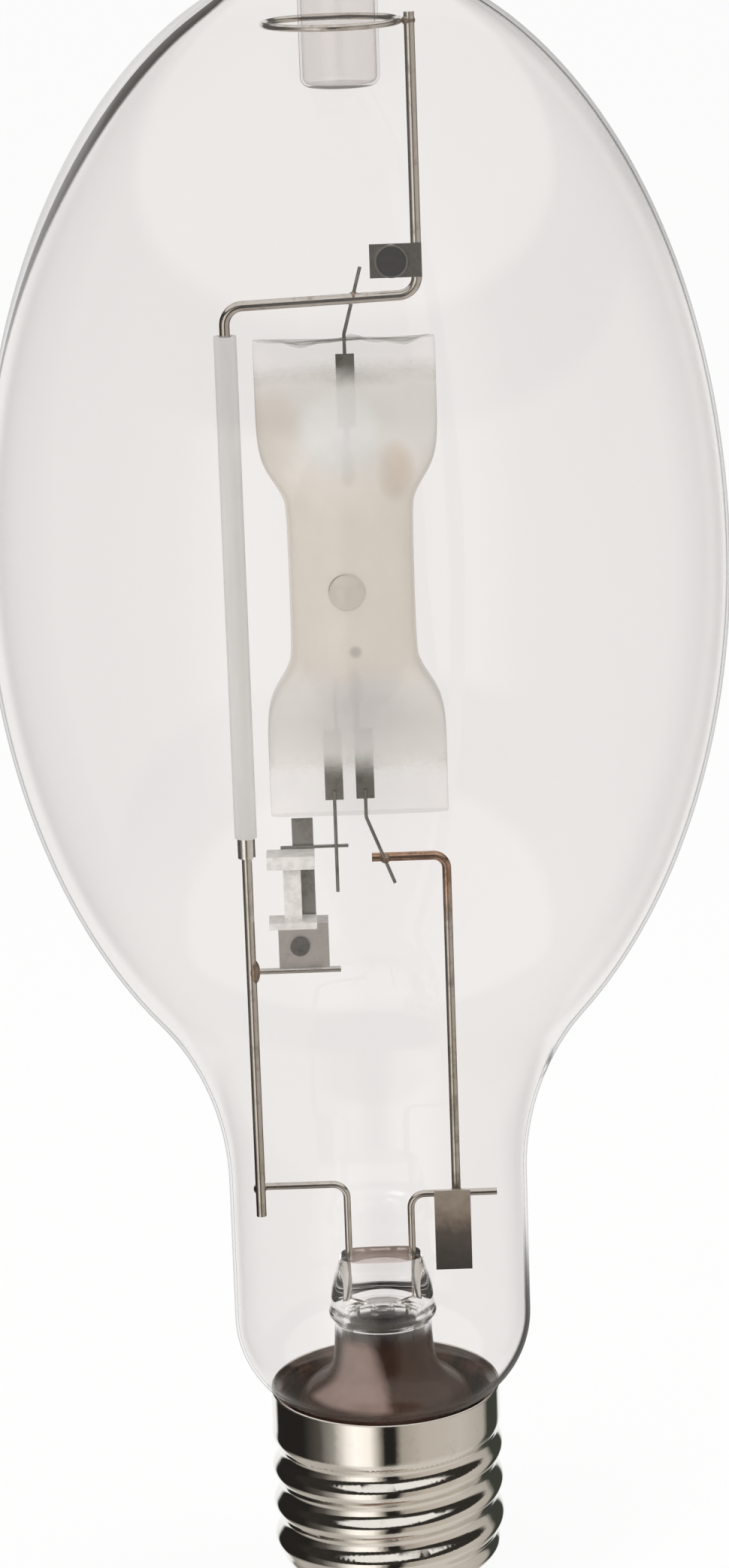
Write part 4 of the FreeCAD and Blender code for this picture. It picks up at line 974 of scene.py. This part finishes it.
# %% Chamber wall and tip
# The chamber's wall barely shows, and the tip is clear with a dark arc on its rim
chamber_paint, glass = new_finish("chamber_wall")
haze = glass.principled(Base_Color=(0.80, 0.76, 0.70), Roughness=0.6)
cloudy = glass.noise(glass.place(), 6, 3)
glass.finish(glass.mix_shaders(0.04 + 0.06 * cloudy, glass.clear(), haze))
nub_paint, glass = new_finish("tip_glass")
place = glass.place()
facing = glass.facing()
grain = glass.noise(place, 1.2, 3)
arc = glass.mask(facing, 0.45, 0.7) * glass.spot(place, (NUB_X - 2.0, NUB_HEIGHT + 2.0), (2.8, 2.4))
rim = glass.mask(facing, 0.5, 0.9) * glass.mask(grain, 0.42, 0.62) * 0.3
dark = glass.principled(Base_Color=(0.12, 0.12, 0.10), Roughness=0.3)
tip_gloss = glass.principled(Base_Color=(0.9, 0.9, 0.88), Metallic=1.0, Roughness=0.15)
tip_body = glass.mix_shaders(glass.most(rim, arc * 0.9), glass.clear((0.99, 0.99, 0.98)), dark)
glass.finish(glass.mix_shaders(0.05 + 0.15 * facing**3, tip_body, tip_gloss))
new_piece("quartz_arc_tube", arc_tube, [quartz_paint, chamber_paint, nub_paint], ["arc_tube"])

# %% [markdown]
# ## The stem
# A glass tube is flared at its foot, where it is sealed to the bulb, and pressed flat round the
# leads at its head. It goes from round to flat as the arc tube does, so it is lofted too: the skin
# from the flare's rim to the top of the press, and the hollow under the press up to a dome. This
# glass is thick, so it bends the light for real, but some reflections and the shade of the cement
# seen through it are painted on.

# %% Clear stem glass
# The top of the press carries a painted reflection of the copper above it. The flare carries a
# painted reflection of the pale bulb on its left, painted dark brown shade where the cement shows
# through elsewhere, and a painted dark ring of shade at the shoulder
stem_paint, glass = new_finish("stem_glass_clear")
place = glass.place()
across = glass.axis(place, "X")
depth = glass.axis(place, "Y")
rise = glass.axis(place, "Z")
clouds = glass.noise(place, 3.5, 4, 0.6)
clear_body = glass.principled(
    Base_Color=(0.98, 0.975, 0.97), Roughness=0.0, IOR=1.5, Transmission_Weight=1.0
)
# Painted reflection: the pinkish brown of the copper above, mirrored on the top of the press
copper_reflection_tone = glass.blend(clouds, (0.30, 0.19, 0.14), (0.70, 0.58, 0.52))
painted_copper_reflection = glass.principled(Base_Color=copper_reflection_tone, Roughness=0.3)
# Painted reflection: the pale bulb mirrored on the front left of the flare
bulb_reflection_tone = glass.blend(clouds, (0.42, 0.29, 0.25), (0.62, 0.48, 0.43))
painted_bulb_reflection = glass.principled(Base_Color=bulb_reflection_tone, Roughness=0.4)
# Painted shade: the dark brown of the shaded cement seen through the lower stem
cement_shade_tone = glass.blend(clouds, (0.022, 0.011, 0.007), (0.085, 0.042, 0.026))
painted_cement_shade = glass.principled(Base_Color=cement_shade_tone, Roughness=0.45, Specular_IOR_Level=0.12)
# Painted shade: a dark ring where the shoulder bulges and bends the light
painted_ring_shade = glass.principled(Base_Color=(0.07, 0.065, 0.055), Roughness=0.3, Specular_IOR_Level=0.3)
top_middle = glass.mask(across * across, (6.0 * MM) ** 2, (4.0 * MM) ** 2)
copper_reflection_area = glass.mask(rise, 63.9 * MM, 64.15 * MM) * top_middle
at_front = glass.mask(depth, -3 * MM, -6 * MM)
slanted = across + 0.3 * (rise - 42 * MM) + 2 * MM * (clouds - 0.5)
# The lower stem, where the painted cement shade goes
sunk = glass.mask(rise, 52.5 * MM, 49.5 * MM)
bulb_reflection_area = at_front * glass.mask(slanted, 1.8 * MM, -0.8 * MM) * sunk * glass.mask(rise, 40.3 * MM, 41.3 * MM)
with_copper_reflection = glass.mix_shaders(copper_reflection_area * 0.55, clear_body, painted_copper_reflection)
with_cement_shade = glass.mix_shaders(sunk * 0.80, with_copper_reflection, painted_cement_shade)
with_bulb_reflection = glass.mix_shaders(bulb_reflection_area * 0.5, with_cement_shade, painted_bulb_reflection)
# Where the painted ring of shade goes, patchy along the shoulder
ring = glass.mask(rise, 53.3 * MM, 53.8 * MM) * glass.mask(rise, 54.9 * MM, 54.5 * MM)
ring = ring * glass.mask(clouds, 0.35, 0.6)
glass.finish(glass.mix_shaders(ring * 0.75, with_bulb_reflection, painted_ring_shade))

# %% [markdown]
# ## Draw the stem out
# The rows go from the sealed flare up to the press. The flare opens sharply at the cement, the
# shoulder bulges where the tube was pressed, and the press narrows towards its top.

# %% Stem shape
# Height, half width, half depth, squareness
STEM_ROWS = [
    (26.0, 15.75, 15.75, 2.0),
    (29.0, 15.6, 15.6, 2.0),
    (33.0, 15.5, 15.5, 2.0),
    (36.5, 15.2, 15.2, 2.0),
    (39.0, 14.6, 14.6, 2.0),
    (40.6, 13.6, 13.6, 2.0),
    (41.6, 12.2, 12.2, 2.0),
    (42.6, 10.6, 10.6, 2.0),
    (44.0, 9.3, 9.3, 2.0),
    (46.0, 8.6, 8.6, 2.0),
    (49.0, 8.3, 8.3, 2.0),
    (52.2, 8.2, 8.2, 2.0),
    (53.2, 8.4, 8.4, 2.0),
    (53.8, 9.0, 9.0, 2.0),
    (54.4, 9.2, 9.1, 2.0),
    (54.9, 8.9, 8.4, 2.0),
    (56.0, 8.8, 6.6, 2.2),
    (57.4, 8.75, 4.9, 2.5),
    (59.0, 8.4, 4.2, 3.0),
    (60.6, 7.9, 3.95, 3.4),
    (62.2, 7.4, 3.9, 3.8),
    (63.5, 7.0, 3.85, 4.0),
    (64.2, 6.7, 3.7, 4.0),
]
STEM_TUBE = 8.1
STEM_WALL = 1.2
DOME_FOOT = 54.1
DOME_HEIGHT = 3.6
EXHAUST_RADIUS = 2.6
EXHAUST_BORE = 1.7
EXHAUST_FOOT = 23.0
EXHAUST_GAP = 0.4

stem = bmesh.new()
rows = spline_rows(STEM_ROWS, 3)
skin_rings = [squared_ring(stem, 0, *row) for row in rows]
hollow_rings = []
for height, wide, deep, _ in rows:
    if height < DOME_FOOT - 1:
        hollow_rings.append(squared_ring(stem, 0, height, wide - STEM_WALL, deep - STEM_WALL, 2.0))
dome_radius = STEM_TUBE - STEM_WALL
for turn in [math.pi / 2 * index / 8 for index in range(8)]:
    radius = dome_radius * math.cos(turn)
    up = DOME_FOOT + DOME_HEIGHT * math.sin(turn)
    hollow_rings.append(squared_ring(stem, 0, up, radius, radius, 2.0))
loft(stem, hollow_rings, [-1])
loft(stem, skin_rings, [-1])
foot, foot_radius = rows[0][:2]
close_rims(stem, (foot_radius - STEM_WALL, foot), (foot_radius, foot), RING_POINTS)
pipe_head = DOME_FOOT + DOME_HEIGHT - EXHAUST_GAP
pipe = [(EXHAUST_BORE, EXHAUST_FOOT), (EXHAUST_RADIUS, EXHAUST_FOOT), (EXHAUST_RADIUS, pipe_head)]
pipe += [(EXHAUST_BORE, pipe_head), (EXHAUST_BORE, EXHAUST_FOOT)]
add_turned(stem, pipe, 32)
bmesh.ops.recalc_face_normals(stem, faces=stem.faces)
new_piece("pressed_stem", stem, [stem_paint], ["stem_glass"])

# %% [markdown]
# ## Small joins
# The rim of the shell is rolled over, so its edge catches a thin line of light. A bevel would do
# that, but a CAD mesh stays as it is, so a thin turned bead lies on the rim. Where wires meet they
# are spot welded, and each weld leaves a small brown bead, here a ball drawn out by its matrix.

# %% Rolled rim
RIM_RADIUS = 19.2
RIM_HEIGHT = 40.95
RIM_BEAD = 0.24
bead = [2 * math.pi * index / 12 for index in range(13)]
circle = [(RIM_RADIUS + RIM_BEAD * math.cos(turn), RIM_HEIGHT + RIM_BEAD * math.sin(turn)) for turn in bead]
rim_shape = bmesh.new()
add_turned(rim_shape, circle, 128)
bmesh.ops.recalc_face_normals(rim_shape, faces=rim_shape.faces)
new_piece("rolled_rim", rim_shape, [finishes["nickel_shell"]], [])

# %% Weld beads
# Centre of each bead and its half lengths across, in depth and up
WELDS = [
    ((-19.3, -1.6, 115.3), (0.95, 0.95, 2.1)),
    ((0.95, -1.0, 226.9), (0.9, 1.3, 0.9)),
    ((3.0, 0.75, 133.4), (0.9, 1.1, 0.8)),
    ((-19.9, -0.9, 77.0), (1.1, 1.3, 1.0)),
    ((13.1, 0.7, 74.7), (1.0, 1.2, 0.9)),
    ((11.0, -1.2, 270.2), (1.1, 1.2, 0.9)),
]
welds = bmesh.new()
for centre, reach in WELDS:
    place_bead = Matrix.Translation(Vector(centre) * MM) @ Matrix.Diagonal((*reach, 1.0))
    bmesh.ops.create_icosphere(welds, subdivisions=3, radius=MM, matrix=place_bead)
weld_paint = metal(
    "weld_bead", (0.40, 0.31, 0.24), (0.16, 0.11, 0.08), 0.6, 0.34, (1.0, 1.0, 1.0), 0.5, 0.02
)
new_piece("weld_beads", welds, [weld_paint], [])

# %% [markdown]
# ## Finish the pieces that stay
# Every other piece keeps its shape from the frame. Each could be named here with its finish, but
# the record already names a material slot for each, so that slot's finish goes on the piece.

# %% Give every carried-over CAD node its finish
for row in frame["record"]["subparts"]:
    node = nodes[row["node"]]
    if node.hide_render:
        continue
    for material_slot in node.material_slots:
        material_slot.material = finishes[row["material_slot"]]
print("slots of each node:", {len(node.material_slots) for node in nodes.values()})
print("finished nodes:", sum(not node.hide_render for node in nodes.values()))
